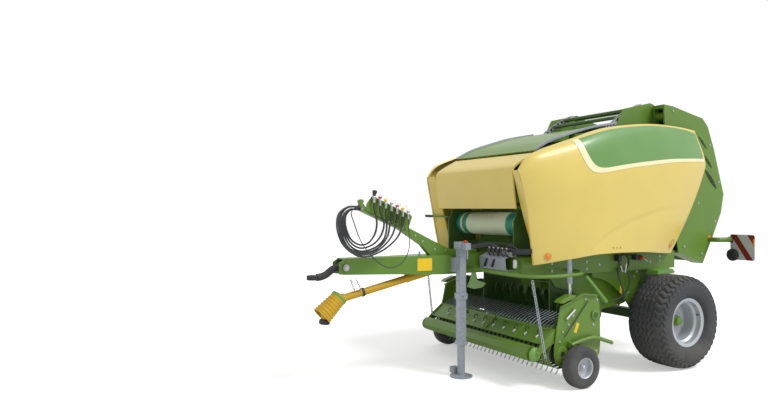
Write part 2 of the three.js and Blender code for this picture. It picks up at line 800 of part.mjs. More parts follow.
addCylinders(
  "gate",
  cylinderBase,
  gatePin,
  {
    x: cylinderX, barrelLength: 1380, barrelRadius: 38, rodRadius: 20, eye: 40,
    eyeHalf: gateEyeHalf, pistonAt: 100,
  },
  green,
);
addCylinders(
  "lift",
  liftBase,
  liftPin,
  {
    x: liftX, barrelLength: 360, barrelRadius: 28, rodRadius: 14, eye: 30,
    eyeHalf: liftEyeHalf, pistonAt: 150,
  },
  galvanised,
);

// ---------------------------------------------------------------- light boards

const lightArm = { y: 1040, z: 1442, radius: 24, x: 935 };

for (const [name, side] of sides) {
  const board = box([side * 917, side * 1235], [1290, 1300], [1186, 1509]);
  const out = rod(
    [side * (gateOuter + seatGap), lightArm.y, lightArm.z],
    [side * lightArm.x, lightArm.y, lightArm.z],
    lightArm.radius,
  );
  const back = rod(
    [side * (lightArm.x - 8), lightArm.y - 10, lightArm.z],
    [side * (lightArm.x - 8), 1294, lightArm.z],
    lightArm.radius - 3,
  );
  const lamp = rod([side * 952, 1250, 1246], [side * 952, 1292, 1246], 56, 12);
  add(`light_board_${name}`, join(board, out, back, lamp), signWhite);
}

// ---------------------------------------------------------------- drawbar and hitch

const drawbarTop = 1328;
const drawbarBottom = 1116;
const hitchPin = { y: -3770, z: 1236, radius: 20 };
const drawbarRear = frameFront - seatGap;

function drawbar() {
  const plan = (inset, front, rear) => [
    [-drawbarHalfWidth + inset, rear], [-drawbarHalfWidth + inset, -2760],
    [-drawbarNoseHalfWidth + inset, -3260], [-drawbarNoseHalfWidth + inset, front],
    [drawbarNoseHalfWidth - inset, front], [drawbarNoseHalfWidth - inset, -3260],
    [drawbarHalfWidth - inset, -2760], [drawbarHalfWidth - inset, rear],
  ];
  const underNose = [
    [-2600, drawbarBottom - 1], [-3900, drawbarBottom - 1], [-3900, 1176], [-3800, 1162],
  ];
  const overNose = [[-3740, 1400], [-3900, 1400], [-3900, 1250], [-3800, 1318]];
  return cut(
    plateZ(plan(0, drawbarNose, drawbarRear), drawbarBottom, drawbarTop),
    plateZ(plan(drawbarWall, drawbarNose - 10, drawbarRear + 10), drawbarBottom - 20, drawbarTop - 10),
    plateX(underNose, -400, 400),
    plateX(overNose, -400, 400),
    shaftX(bore(hitchPin.radius), -200, 200, hitchPin),
  );
}

add("drawbar", drawbar(), green);

function hitchEye() {
  const boss = drawbarNoseHalfWidth - drawbarWall - seatGap;
  const cheek = drawbarNoseHalfWidth + seatGap;
  const ring = { y: -4105, z: 1142, radius: 62, hole: 26 };
  const upright = (radius, height) =>
    solid(
      new THREE.CylinderGeometry(radius, radius, height, 16)
        .rotateX(Math.PI / 2)
        .translate(0, ring.y, ring.z),
    );
  const shank = pipe(
    [[0, hitchPin.y, hitchPin.z], [0, -3880, 1222], [0, -3960, 1166], [0, -4040, 1142],
      [0, ring.y + 40, ring.z]],
    38,
    10,
    8,
  );
  return cut(
    join(
      shaftX(56, -boss, boss, hitchPin),
      shaftX(hitchPin.radius, -cheek - 18, cheek + 18, hitchPin),
      sides.map(([, side]) => shaftX(34, side * cheek, side * (cheek + 18), hitchPin, 6)),
      shank,
      upright(ring.radius, 46),
    ),
    upright(ring.hole, 120),
  );
}

add("hitch_eye", hitchEye(), castIron);

// ---------------------------------------------------------------- parking jack

const jackTop = 1400;
const jackBottom = 350;
const jackBore = jack.tube - 2 * jack.wall;

function squareBar(size, z0, z1) {
  const { x, y } = jack;
  return box([x - size / 2, x + size / 2], [y - size / 2, y + size / 2], [z0, z1]);
}

const jackHeadHalf = 56;
add(
  "jack_tube",
  cut(
    join(
      squareBar(jack.tube, jackBottom, jackTop + 4),
      squareBar(2 * jackHeadHalf, jackTop, jackTop + 76),
      squareBar(jack.tube + 16, jackBottom, jackBottom + 46),
      squareBar(jack.tube + 22, 850, 915),
      box([drawbarHalfWidth + seatGap, jack.x - 30], [jack.y - 60, jack.y + 60], [1140, 1300]),
    ),
    squareBar(jackBore, jackBottom - 10, jackTop - 6),
  ),
  galvanised,
);

const jackFoot = [[0, 0], [120, 0], [126, 14], [60, 26], [0, 26]];
add(
  "jack_leg",
  join(
    squareBar(jack.leg, 10, 960),
    squareBar(jackBore - 2 * seatGap, 930, 960),
    solid(
      new THREE.LatheGeometry(jackFoot.map(([r, z]) => new THREE.Vector2(r, z)), 20)
        .rotateX(Math.PI / 2)
        .translate(jack.x, jack.y, 0),
    ),
  ),
  galvanised,
);
pivots.jack_leg = [jack.x, jack.y, 0];

// ---------------------------------------------------------------- hose arm, rack and hoses

const armX = [18, 88];
const armTip = -3610;
const armOutline = [
  [armTip, 1822], [armTip, 1882], [-3051, 1642], [-2525, 1400], [-2440, 1384], [-2120, 1376],
  [-2120, drawbarTop + seatGap], [-2755, drawbarTop + seatGap], [-2860, 1440], [-3144, 1620],
];

add("hose_arm", plateX(armOutline, ...armX), green);

const rackFrom = [-3472, 1962];
const rackTo = [-3060, 1786];
const couplerCount = 7;
const rackX = armX[1] + seatGap;
const hoseX = rackX + 44;
const couplerBottom = 60;

const couplerAt = (i) => {
  const t = i / (couplerCount - 1);
  return [rackFrom[0] + (rackTo[0] - rackFrom[0]) * t, rackFrom[1] + (rackTo[1] - rackFrom[1]) * t];
};

function rack() {
  const plate = [[-3560, 1830], [-3480, 1972], [-3010, 1776], [-3030, 1606]];
  const holders = [];
  for (let i = 0; i < couplerCount; i += 1) {
    const [y, z] = couplerAt(i);
    holders.push(rod([hoseX, y, z - couplerBottom], [hoseX, y, z + 24], 19, 8));
    holders.push(box([rackX + 4, hoseX], [y - 9, y + 9], [z - 30, z - 6]));
  }
  return join(plateX(plate, rackX, rackX + 8), holders);
}

add("coupler_rack", rack(), castIron);

// Each hose leaves its coupler downwards, hangs in a loop before the arm and ends on the arm's tip.
// A row gives the points of one loop as y and z, from its coupler's side round to the arm's tip.
const hoseRadius = 10;
const hoseLoops = [
  [[-3439, 1690], [-3461, 1570], [-3533, 1484], [-3625, 1467], [-3729, 1527], [-3792, 1674]],
  [[-3356, 1690], [-3396, 1555], [-3494, 1466], [-3637, 1436], [-3751, 1503], [-3820, 1664]],
  [[-3326, 1662], [-3358, 1536], [-3462, 1444], [-3649, 1406], [-3776, 1480], [-3846, 1655]],
  [[-3293, 1662], [-3334, 1542], [-3466, 1424], [-3662, 1390], [-3803, 1462], [-3876, 1645]],
  [[-3228, 1656], [-3296, 1541], [-3462, 1410], [-3668, 1374], [-3836, 1462], [-3904, 1650]],
  [[-3158, 1625], [-3238, 1528], [-3436, 1402], [-3674, 1355], [-3867, 1474], [-3938, 1652]],
];
const laneShares = [0.2, 0.6, 0.9, 1, 1, 1]; // how far each of a row's points has come to its lane
// The way back to the arm: how much of the sideways step from lane to arm is done, then y and z.
const hoseReturns = [
  [[0.31, -3774, 1775], [0.77, -3710, 1826]], [[0.3, -3797, 1776], [0.76, -3718, 1830]],
  [[0.3, -3823, 1778], [0.74, -3731, 1834]], [[0.3, -3849, 1780], [0.79, -3746, 1853]],
  [[0.32, -3876, 1786], [0.75, -3761, 1856]], [[0.28, -3903, 1783], [0.68, -3776, 1856]],
];
const hoseRoutes = hoseLoops.map((loop, i) => {
  const [y, z] = couplerAt(i);
  const top = z - couplerBottom - seatGap;
  const lane = 108 + 24 * i;
  const end = { x: 30 + 23.5 * (i % 3), z: 1834 + 28 * Math.floor(i / 3) };
  return [
    [hoseX, y, top], [hoseX, y - 1, top - 60],
    ...loop.map((at, j) => [hoseX + laneShares[j] * (lane - hoseX), ...at]),
    ...hoseReturns[i].map(([share, ...at]) => [lane + share * (end.x - lane), ...at]),
    [end.x, -3665, end.z], [end.x, armTip - seatGap, end.z],
  ];
});
hoseRoutes.forEach((route, i) => add(`hose_${i + 1}`, pipe(route, hoseRadius, 8, 22), rubber));

// A thin control cable leaves the last coupler, hangs below the arm and comes back to the arm's tip.
const [cableY, cableZ] = couplerAt(couplerCount - 1);
const cableRadius = 5;
const cableEnd = armX[1] + cableRadius + 0.4;
const cableRoute = [
  [hoseX, cableY, cableZ - couplerBottom - seatGap], [hoseX, cableY, 1660],
  [hoseX + 40, cableY - 10, 1560], [230, -3112, 1410], [262, -3200, 1290], [272, -3345, 1232],
  [276, -3470, 1272], [278, -3600, 1385], [262, -3690, 1512], [200, -3735, 1690],
  [120, -3730, 1800], [cableEnd, -3680, 1846], [cableEnd, -3600, 1848],
];
add("control_cable", pipe(cableRoute, cableRadius, 8, 22), rubber);

// ---------------------------------------------------------------- drive shaft and gearbox

const shaftFront = { y: -3856, z: 893 };
const shaftRear = { y: -2200, z: 1252 };
const shaftGuardRadius = 44;
const gearboxFront = -2166;
const bellRear = { y: -3834, z: 905 };
const bellFront = { y: -4008, z: 744 };

// The guard's bell: a wide sleeve with a rear wall that the tube passes through.
function bell() {
  const length = Math.hypot(bellFront.y - bellRear.y, bellFront.z - bellRear.z);
  const profile = [
    [38, 0], [84, 0], [102, 40], [108, length], [99, length], [93, 44], [76, 12], [38, 12], [38, 0],
  ].map(([radius, y]) => new THREE.Vector2(radius, y));
  const turn = new THREE.Quaternion().setFromUnitVectors(
    new THREE.Vector3(0, 1, 0),
    new THREE.Vector3(0, bellFront.y - bellRear.y, bellFront.z - bellRear.z).normalize(),
  );
  const geometry = new THREE.LatheGeometry(profile, 16).applyQuaternion(turn);
  return solid(geometry.translate(0, bellRear.y, bellRear.z));
}

add(
  "drive_shaft_guard",
  join(
    rod([0, shaftFront.y, shaftFront.z], [0, shaftRear.y, shaftRear.z], shaftGuardRadius, 12),
    rod([0, -2230, shaftRear.z - 4], [0, gearboxFront - seatGap, shaftRear.z - 4], 50, 12),
    bell(),
  ),
  guardYellow,
);

// The yoke starts at the shaft's end, inside the bell, and its outer half hangs down.
const shaftSlope = new THREE.Vector2(shaftFront.y - shaftRear.y, shaftFront.z - shaftRear.z).normalize();
const beyondShaft = (distance) => [
  0,
  shaftFront.y + shaftSlope.x * distance,
  shaftFront.z + shaftSlope.y * distance,
];
add(
  "drive_shaft_yoke",
  join(
    rod(beyondShaft(seatGap), beyondShaft(60), 15),
    rod(beyondShaft(50), [0, -3972, 800], 20),
    rod([0, -3977, 812], [0, -3977, 655], 32),
    rod([0, -3977, 657], [0, -3977, 615], 54, 12),
  ),
  castIron,
);

add("gearbox", box([-110, 110], [gearboxFront, drawbarRear], [1150, 1312]), castIron);

// ---------------------------------------------------------------- front bar and hose cover

const barRadius = 19;

function frontBar() {
  const bars = sides.map(([, side]) =>
    pipe(
      [
        [side * (drawbarHalfWidth + seatGap), -2300, 1180], [side * 190, -2300, 1180],
        [side * 420, -2275, 1168], [side * 800, -2125, 1138], [side * 960, -2020, 1132],
        [side * 1045, -1850, 1136], [side * 1050, -1480, 1146], [side * 1010, -1410, 1150],
        [side * 930, -1395, 1160], [side * (frameHalfWidth + seatGap), -1395, 1160],
      ],
      barRadius,
      8,
      18,
    ),
  );
  return bars;
}

const [barLeft, barRight] = frontBar();
add("front_bar_left", barLeft, green);
add("front_bar_right", barRight, green);

const coverFace = frameFront - seatGap;
const coverOutline = [
  [coverFace, 1172], [-2150, 1175], [-2165, 1302], [-2058, 1350], [coverFace, 1350],
  [coverFace, 1343], [-2056, 1343], [-2157, 1298], [-2142, 1182], [coverFace, 1180],
];
add("hose_cover", plateX(coverOutline, 190, frontBeamHalf - 100), galvanised);

// ---------------------------------------------------------------- pickup

const pickupOutline = [
  [-1780, 830], [-1476, 940], [-1269, 912], [-1214, 704], [-1224, 290], [-1400, 200], [-1700, 180],
  [-1850, 250], [-1870, 400], [-1836, 586],
];
const cropPin = 14;
const guideCentre = { y: guideWheelCentre.y, z: guideWheelDiameter / 2 };
const guideHubHalf = 40;

function pickupFrame() {
  const inner = pickupHalfWidth;
  const outer = pickupHalfWidth + pickupPlate;
  const cheeks = sides.map(([, side]) =>
    cut(
      plateX(pickupOutline, side * inner, side * outer),
      shaftX(bore(feedRotor.shaft), side * (inner - 10), side * (outer + 10), feedRotor),
      shaftX(bore(pickupRotor.shaft), side * (inner - 10), side * (outer + 10), pickupRotor),
      shaftX(bore(cropPin), side * (inner - 10), side * (outer + 10), cropPivot),
    ),
  );
  const bands = [];
  const reach = inner - 72;
  const from = Math.PI * 0.32;
  const to = Math.PI * 1.62;
  const { y, z } = pickupRotor;
  for (let i = 0; i < bandCount; i += 1) {
    const x = -reach + (2 * reach * i) / (bandCount - 1);
    const outline = [];
    const steps = 5;
    for (let k = 0; k <= steps; k += 1) {
      const angle = from + ((to - from) * k) / steps;
      const r = bandRadius + bandThickness;
      outline.push([y + r * Math.cos(angle), z + r * Math.sin(angle)]);
    }
    outline.push([-1400, 186], [-1398, 193]);
    for (let k = steps; k >= 0; k -= 1) {
      const angle = from + ((to - from) * k) / steps;
      outline.push([y + bandRadius * Math.cos(angle), z + bandRadius * Math.sin(angle)]);
    }
    outline.push([-1550, 530], [-1548, 536]);
    bands.push(plateX(outline, x - bandWidth / 2, x + bandWidth / 2));
  }
  const arms = sides.map(([, side]) =>
    join(
      flatBar([-1500, 420], [guideCentre.y, guideCentre.z], 60, side * (outer - 4), side * (outer + 14)),
      shaftX(guideSpindleRadius, side * (outer - 4),
        side * (guideWheelCentre.x + guideHubHalf + 6), guideCentre),
      shaftX(22, side * (inner + 4), side * (liftX + liftEyeHalf + seatGap), liftPin),
    ),
  );
  return join(
    cheeks,
    bands,
    arms,
    rod([-inner - 4, -1400, 190], [inner + 4, -1400, 190], 34),
    rod([-inner - 4, -1545, 534], [inner + 4, -1545, 534], 14, 8),
  );
}

add("pickup_frame", pickupFrame(), green);
pivots.pickup = [0, feedRotor.y, feedRotor.z];

function pickupReel() {
  const reach = pickupHalfWidth - 45;
  const { y, z, barCircle } = pickupRotor;
  const discs = [-1, 0, 1].map((share) =>
    shaftX(barCircle + 16, share * (reach - 4) - 4, share * (reach - 4) + 4, pickupRotor, 12),
  );
  const bars = [];
  const barTotal = 5;
  for (let i = 0; i < barTotal; i += 1) {
    const angle = (2 * Math.PI * i) / barTotal;
    const at = [y + barCircle * Math.cos(angle), z + barCircle * Math.sin(angle)];
    bars.push(rod([-reach, ...at], [reach, ...at], 12, 6));
  }
  const end = pickupHalfWidth + 20;
  return join(
    shaftX(pickupRotor.shaft, -end, end, pickupRotor),
    shaftX(pickupRotor.tube, -reach, reach, pickupRotor, 10),
    discs,
    bars,
  );
}

add("pickup_rotor", pickupReel(), castIron);
pivots.pickup_rotor = [0, pickupRotor.y, pickupRotor.z];

for (const [name, side] of sides) {
  const centre = { x: side * guideWheelCentre.x, ...guideCentre };
  const r = guideWheelDiameter / 2;
  const half = guideWheelWidth / 2;
  const seat = 105;
  const tyreProfile = [
    [seat, 60], [120, 74], [r - 46, half], [r - 12, half - 12], [r, half - 42], [r, 42 - half],
    [r - 12, 12 - half], [r - 46, -half], [120, -74], [seat, -60],
  ];
  const hole = bore(guideSpindleRadius);
  const bed = seat - seatGap;
  const rimProfile = [
    [hole, guideHubHalf], [30, guideHubHalf], [30, 8], [bed - 7, 8], [bed - 7, 66], [bed, 66],
    [bed, -66], [bed - 7, -66], [bed - 7, -4], [30, -4], [30, -guideHubHalf], [hole, -guideHubHalf],
  ];
  add(`guide_tyre_${name}`, turned(tyreProfile, centre, 16), rubber);
  add(`guide_rim_${name}`, turned(rimProfile, centre, 16), galvanised);
  pivots[`guide_wheel_${name}`] = [centre.x, centre.y, centre.z];
}

// Crop guard: arms on the pickup's cheeks, a plate that carries the tines, and the press roller.
const cropArm = pickupHalfWidth - sweepGap;
const rollerShaft = 20;

function cropGuard() {
  const { y, z } = cropPivot;
  const roller = cropRoller;
  const armOutline = [
    [y + 34, z + 36], [y + 38, z - 24], [roller.y, roller.z - 34], [roller.y - 36, roller.z],
    [-2016, 466], [-1846, 596],
  ];
  return join(
    sides.map(([, side]) =>
      join(
        cut(
          plateX(armOutline, side * (cropArm - 14), side * cropArm),
          shaftX(bore(rollerShaft), side * (cropArm - 20), side * (cropArm + 6), cropRoller),
        ),
        shaftX(cropPin, side * (cropArm - 6), side * (pickupHalfWidth + 18), cropPivot),
      ),
    ),
    flatBar([-2010, 452], [-1850, 575], 8, -cropArm + 10, cropArm - 10),
    rod([-cropArm + 10, -1846, 580], [cropArm - 10, -1846, 580], 14, 8),
  );
}

add("crop_guard", cropGuard(), green);
pivots.crop_guard = [0, cropPivot.y, cropPivot.z];

add(
  "crop_roller",
  join(
    shaftX(cropRoller.radius, -cropRoller.halfLength, cropRoller.halfLength, cropRoller, 8),
    shaftX(rollerShaft, -cropArm - 4, cropArm + 4, cropRoller),
  ),
  green,
);
pivots.crop_roller = [0, cropRoller.y, cropRoller.z];

// ---------------------------------------------------------------- place the whole on its own origin

const overall = new THREE.Box3().setFromObject(baler);
const middle = overall.getCenter(new THREE.Vector3());
for (const piece of baler.children) piece.position.y = -middle.y;
for (const point of Object.values(pivots)) point[1] -= middle.y;
baler.userData = { pivots, shift: -middle.y };

export default baler;
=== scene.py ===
# %% [markdown]
# # A round baler, finished in Blender
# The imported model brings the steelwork, the joints and every size. This notebook gives it paint,
# rubber and zinc, and makes the pieces that a solid modeller leaves plain: tyre tread, tines,
# hoses, chains and the bulged side hoods. Every new shape is a surface worked out with numpy as
# whole arrays. Lengths are metres, +X is the machine's left, -Y is the way it travels and +Z is up.

# %% Load the model
import math

import bmesh
import bpy
import numpy as np
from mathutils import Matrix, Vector
from mathutils.geometry import tessellate_polygon


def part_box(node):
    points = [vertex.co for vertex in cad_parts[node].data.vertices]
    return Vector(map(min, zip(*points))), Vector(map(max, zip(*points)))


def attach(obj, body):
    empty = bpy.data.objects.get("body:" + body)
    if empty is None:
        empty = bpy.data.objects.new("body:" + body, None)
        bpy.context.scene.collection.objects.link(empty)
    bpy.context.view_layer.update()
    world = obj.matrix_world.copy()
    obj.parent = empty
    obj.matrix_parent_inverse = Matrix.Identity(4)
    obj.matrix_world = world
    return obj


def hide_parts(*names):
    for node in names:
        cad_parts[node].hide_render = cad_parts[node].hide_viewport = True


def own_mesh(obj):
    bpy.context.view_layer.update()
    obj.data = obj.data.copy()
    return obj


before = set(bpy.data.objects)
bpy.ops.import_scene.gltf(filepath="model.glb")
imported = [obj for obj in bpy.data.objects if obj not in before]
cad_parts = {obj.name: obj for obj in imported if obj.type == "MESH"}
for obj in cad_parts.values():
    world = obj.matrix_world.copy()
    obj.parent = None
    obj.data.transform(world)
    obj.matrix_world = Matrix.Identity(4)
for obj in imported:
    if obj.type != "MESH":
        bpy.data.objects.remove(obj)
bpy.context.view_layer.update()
axle_low, axle_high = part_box("axle")
AXLE_Y = (axle_low.y + axle_high.y) / 2

# %% [markdown]
# ## Camera
# The machine is seen from its front left corner, a little above the axle, from about seven metres.
# A plain perspective camera with a short lens gives the strong taper from the near wheel to the
# hitch. Two angles set its direction: a turn about the vertical and a very small tilt upwards.

# %% Camera
camera = bpy.data.objects.new("camera", bpy.data.cameras.new("camera"))
bpy.context.scene.collection.objects.link(camera)
bpy.context.scene.camera = camera
sensor_width, image_width, focal_length = 36, 768, 637
tilt_up, turn_left = math.radians(0.61), math.radians(61.6)
camera.data.sensor_width = sensor_width
camera.data.lens = sensor_width * focal_length / image_width
camera.location = (6.02, AXLE_Y - 6.54, 1.85)
camera.rotation_euler = (math.radians(90) + tilt_up, 0, turn_left)
camera.data.clip_end = 200
print("lens", round(camera.data.lens, 2), "mm")

# %% [markdown]
# ## Shells
# A shell is a pair: its vertices, and a list of arrays of faces. Points are given from the wheel
# axle's middle, as on a maker's drawing, and `make` moves them to the model's own origin, so each
# finished object stays at the origin with its place in its mesh.

# %% Shells and grids
def shell(vertices, *faces):
    """A shell from rows of x, y, z and any number of arrays of faces."""
    return np.asarray(vertices, float), [np.asarray(f, int) for f in faces if len(f)]


def merged(*shells):
    """Several shells as one: each one's face numbers go up by the vertices that come before."""
    vertices, faces, start = [], [], 0
    for points, groups in shells:
        vertices.append(points)
        faces += [group + start for group in groups]
        start += len(points)
    return np.concatenate(vertices), faces


def grid(points, wrap_u=False, wrap_v=False):
    """A sheet of quads over an array of points [u, v, xyz]. A wrapped side meets its first row."""
    ids = np.arange(points.shape[0] * points.shape[1]).reshape(points.shape[:2])
    if wrap_u:
        ids = np.vstack([ids, ids[:1]])
    if wrap_v:
        ids = np.hstack([ids, ids[:, :1]])
    quads = np.stack([ids[:-1, :-1], ids[1:, :-1], ids[1:, 1:], ids[:-1, 1:]], -1)
    return shell(points.reshape(-1, 3), quads.reshape(-1, 4))


def slab(outer, inner):
    """A closed plate between two grids of the same size: both faces and the four edges."""
    edges = [np.stack([outer[i], inner[i]]) for i in (0, -1)]
    edges += [np.stack([outer[:, i], inner[:, i]]) for i in (0, -1)]
    return merged(grid(outer), grid(inner), *[grid(edge) for edge in edges])


def unit(v):
    """Each vector divided by its length."""
    return v / np.linalg.norm(v, axis=-1, keepdims=True)


# %% [markdown]
# Four ways of making a shape cover nearly the whole machine: a profile turned about an axis, a
# section carried along a path, an outline given a depth, and one small shape stamped many times.

# %% Turned, swept, extruded and stamped shapes
def lathe(profile, centre=(0, 0, 0), axis=(1, 0, 0), sides=48, closed=True):
    """Turns [radius, distance] pairs about an axis: point = centre + distance * axis + radius *
    (cos t * a + sin t * b), where a and b are square to the axis. A profile that starts and ends
    on the axis isn't closed on itself."""
    profile, axis = np.asarray(profile, float), unit(np.asarray(axis, float))
    a = unit(np.cross([0, 0, 1] if abs(axis[2]) < 0.9 else [1, 0, 0], axis))
    b = np.cross(axis, a)
    t = np.linspace(0, 2 * np.pi, sides, endpoint=False)[:, None]
    ring = np.cos(t) * a + np.sin(t) * b
    radius, distance = profile.T[:, :, None, None]
    return grid(np.asarray(centre) + distance * axis + radius * ring, wrap_u=closed, wrap_v=True)


def sweep(path, section, ref=(1, 0, 0), scale=1.0):
    """Carries a section of [across, up] pairs along a path. At each point the section lies square
    to the path's direction, with its first axis as near to ref as that allows. Both ends are
    closed by a fan from the path's end point."""
    path, section = np.asarray(path, float), np.asarray(section, float)
    along_it = unit(np.gradient(path, axis=0))
    ref = np.asarray(ref, float)
    a = unit(ref - (along_it @ ref)[:, None] * along_it)
    b = np.cross(along_it, a)
    size = np.broadcast_to(scale, len(path))[:, None, None]
    points = path[:, None] + size * (section[:, :1] * a[:, None] + section[:, 1:] * b[:, None])
    vertices, faces = grid(points, wrap_v=True)
    n, k = len(vertices), len(section)
    i = np.arange(k)
    first = np.stack([i, np.roll(i, -1), np.full(k, n)], -1)
    last = np.stack([np.roll(i, -1) + n - k, i + n - k, np.full(k, n + 1)], -1)
    return shell(np.vstack([vertices, path[:1], path[-1:]]), *faces, first, last)


def tube(path, radius, sides=12, ref=(1, 0, 0)):
    """A round bar: a circle carried along a path. radius is one number or one for each point."""
    t = np.linspace(0, 2 * np.pi, sides, endpoint=False)
    return sweep(path, np.stack([np.cos(t), np.sin(t)], -1), ref, radius)


def prism(outline, axis, low, high):
    """An outline in the two axes other than this one, made solid from low to high along it."""
    outline = np.asarray(outline, float)
    first, second, third = {"x": (1, 2, 0), "y": (0, 2, 1), "z": (0, 1, 2)}[axis]
    n = len(outline)
    points = np.zeros((2 * n, 3))
    points[:, first], points[:, second] = np.tile(outline, (2, 1)).T
    points[:n, third], points[n:, third] = low, high
    i, j = np.arange(n), np.roll(np.arange(n), -1)
    cap = np.array(tessellate_polygon([[Vector((a, b, 0)) for a, b in outline]]))
    return shell(points, np.stack([i, j, j + n, i + n], -1), cap, cap + n)


def block(x, y, z):
    """A box between two values on each axis."""
    return prism([(x[0], y[0]), (x[1], y[0]), (x[1], y[1]), (x[0], y[1])], "z", *z)


def facing(directions):
    """One turn for each direction, as a 3 x 3 matrix that takes +Z to it."""
    z = unit(np.atleast_2d(np.asarray(directions, float)))
    other = np.where(np.abs(z[:, :1]) < 0.9, [[1.0, 0, 0]], [[0, 1.0, 0]])
    x = unit(np.cross(other, z))
    return np.stack([x, np.cross(z, x), z], -1)


def stamped(one, places, turns=None, scale=1.0):
    """Copies of a shell, all at once: vertex = turn @ (scale * vertex) + place, for each place."""
    places = np.atleast_2d(np.asarray(places, float))
    turns = np.broadcast_to(np.eye(3) if turns is None else turns, (len(places), 3, 3))
    points = np.einsum("nij,vj->nvi", turns, one[0] * scale) + places[:, None]
    steps = len(one[0]) * np.arange(len(places))
    faces = [(f[None] + steps[:, None, None]).reshape(-1, f.shape[1]) for f in one[1]]
    return points.reshape(-1, 3), faces


def mirrored(one):
    """The same shell on the machine's other side: x changes its sign. Its faces then point
    inwards, and `make` turns them out again."""
    return one[0] * [-1, 1, 1], one[1]


def both(*shells):
    """Shells drawn for the left side, together with their mirror images on the right."""
    one = merged(*shells)
    return merged(one, mirrored(one))


def smooth_line(points, t):
    """A smooth line through points at shares t from 0 to 1. Between two points it is the cubic
    that leaves and arrives along the chord of their neighbours."""
    p = np.asarray(points, float)
    n = len(p) - 1
    s = np.clip(np.asarray(t, float) * n, 0, n)
    i = np.minimum(s.astype(int), n - 1)
    w = (s - i)[..., None]
    a, b, c, d = p[np.maximum(i - 1, 0)], p[i], p[i + 1], p[np.minimum(i + 2, n)]
    out, back = (c - a) / 2, (d - b) / 2
    return ((2 * b - 2 * c + out + back) * w**3 + (3 * c - 3 * b - 2 * out - back) * w**2
            + out * w + b)


def resampled(points, count):
    """Points at even distances along a line of points."""
    reach = np.concatenate([[0], np.cumsum(np.linalg.norm(np.diff(points, axis=0), axis=1))])
    at = np.linspace(0, reach[-1], count)
    return np.stack([np.interp(at, reach, points[:, k]) for k in range(points.shape[1])], -1)


def bend(points, count=40, fine=0):
    """A smooth path through points: count points at even distances, measured on fine points."""
    return resampled(smooth_line(points, np.linspace(0, 1, fine or 12 * len(points))), count)


# %% Putting a shell into the scene
made = {}


def make(name, parts, material, body, replaces=(), slot=None, bevel=0.0, sharp=35):
    """A mesh object from a shell. Vertices that meet are joined, faces are turned outwards, and
    edges sharper than the angle stay sharp. bevel rounds those edges by that many metres."""
    vertices, faces = parts
    mesh = bpy.data.meshes.new(name)
    rows = [tuple(row) for group in faces for row in group.tolist()]
    mesh.from_pydata((vertices + [0, AXLE_Y, 0]).tolist(), [], rows)
    work = bmesh.new()
    work.from_mesh(mesh)
    bmesh.ops.remove_doubles(work, verts=work.verts, dist=2e-5)
    bmesh.ops.recalc_face_normals(work, faces=work.faces)
    work.to_mesh(mesh)
    work.free()
    mesh.shade_smooth()
    mesh.set_sharp_from_angle(angle=math.radians(sharp))
    piece = bpy.data.objects.new(name, mesh)
    bpy.context.scene.collection.objects.link(piece)
    mesh.materials.append(material)
    if bevel:
        rounding = piece.modifiers.new("rounded edges", "BEVEL")
        rounding.width = bevel
        rounding.segments = 2
        rounding.limit_method = "ANGLE"
        rounding.angle_limit = math.radians(sharp)
        rounding.harden_normals = True
    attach(piece, body)
    if replaces:
        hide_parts(*replaces)
    made[name] = len(mesh.polygons)
    return piece


def make_pair(name, one, material, body, replaces=(), slot=None, **more):
    """The same piece for the left and the right, from a shell drawn for the left. A * in the name
    of a body or a solid stands for the side."""
    for side, parts in (("left", one), ("right", mirrored(one))):
        solids = [solid.replace("*", side) for solid in replaces]
        make(f"{name}_{side}", parts, material, body.replace("*", side), solids, slot, **more)


def spots_at(x, places):
    """Places given as y and z, all with the same x."""
    return [(x, y, z) for y, z in places]


def bolt(radius, height=None):
    """A hexagon head on a washer, standing on the x-y plane and facing +Z."""
    height = height or 0.7 * radius
    washer = [[0, 0], [1.35 * radius, 0], [1.35 * radius, 0.2 * radius], [0, 0.2 * radius]]
    head = [[0, 0], [radius, 0], [radius, 0.8 * height], [0.85 * radius, height], [0, height]]
    return merged(lathe(washer, axis=(0, 0, 1), sides=14, closed=False),
                  lathe(head, (0, 0, 0.2 * radius), (0, 0, 1), 6, closed=False))


LEFT, UP = (1, 0, 0), (0, 0, 1)


def bolts(places, direction=LEFT, radius=0.011):
    """One bolt head at each place, all facing the same way."""
    return stamped(bolt(radius), places, facing(direction))


def button(profile, centre, axis=UP, sides=20):
    """A turned piece whose profile starts and ends on its axis."""
    return lathe(profile, centre, axis, sides, closed=False)


print("shape functions ready")

# %% [markdown]
# ## Finishes
# Three shader node groups carry what all the finishes share. Weathering mixes dust where a face
# looks up or lies near the ground, and bare metal on worn edges. Spangle is the crystal pattern
# of hot-dip zinc. Orange peel is the fine unevenness of sprayed paint and moulded plastic.

# %% Colour helper and node helper
def rgb(red, green, blue):
    """A screen colour from 0 to 255 as the linear colour that a shader needs."""
    c = np.array([red, green, blue]) / 255
    linear = np.where(c <= 0.04045, c / 12.92, ((c + 0.055) / 1.055) ** 2.4)
    return (*linear.tolist(), 1.0)


def node(tree, kind, inputs=None, **settings):
    """A shader node with its settings, and each input either set or linked."""
    new = tree.nodes.new("ShaderNode" + kind)
    for key, value in settings.items():
        setattr(new, key, value)
    for key, value in (inputs or {}).items():
        if isinstance(value, bpy.types.NodeSocket):
            tree.links.new(value, new.inputs[key])
        else:
            new.inputs[key].default_value = value
    return new


def math_node(tree, operation, *values):
    """A math node's result, clamped to 0 to 1 for a product or a sum."""
    new = node(tree, "Math", dict(enumerate(values)), operation=operation)
    new.use_clamp = operation in ("MULTIPLY", "ADD")
    return new.outputs[0]


def ramp(tree, value, low, high, first, last):
    """A value between low and high brought to between first and last, and kept within them."""
    return node(tree, "MapRange", {"Value": value, 1: low, 2: high, 3: first, 4: last}).outputs[0]


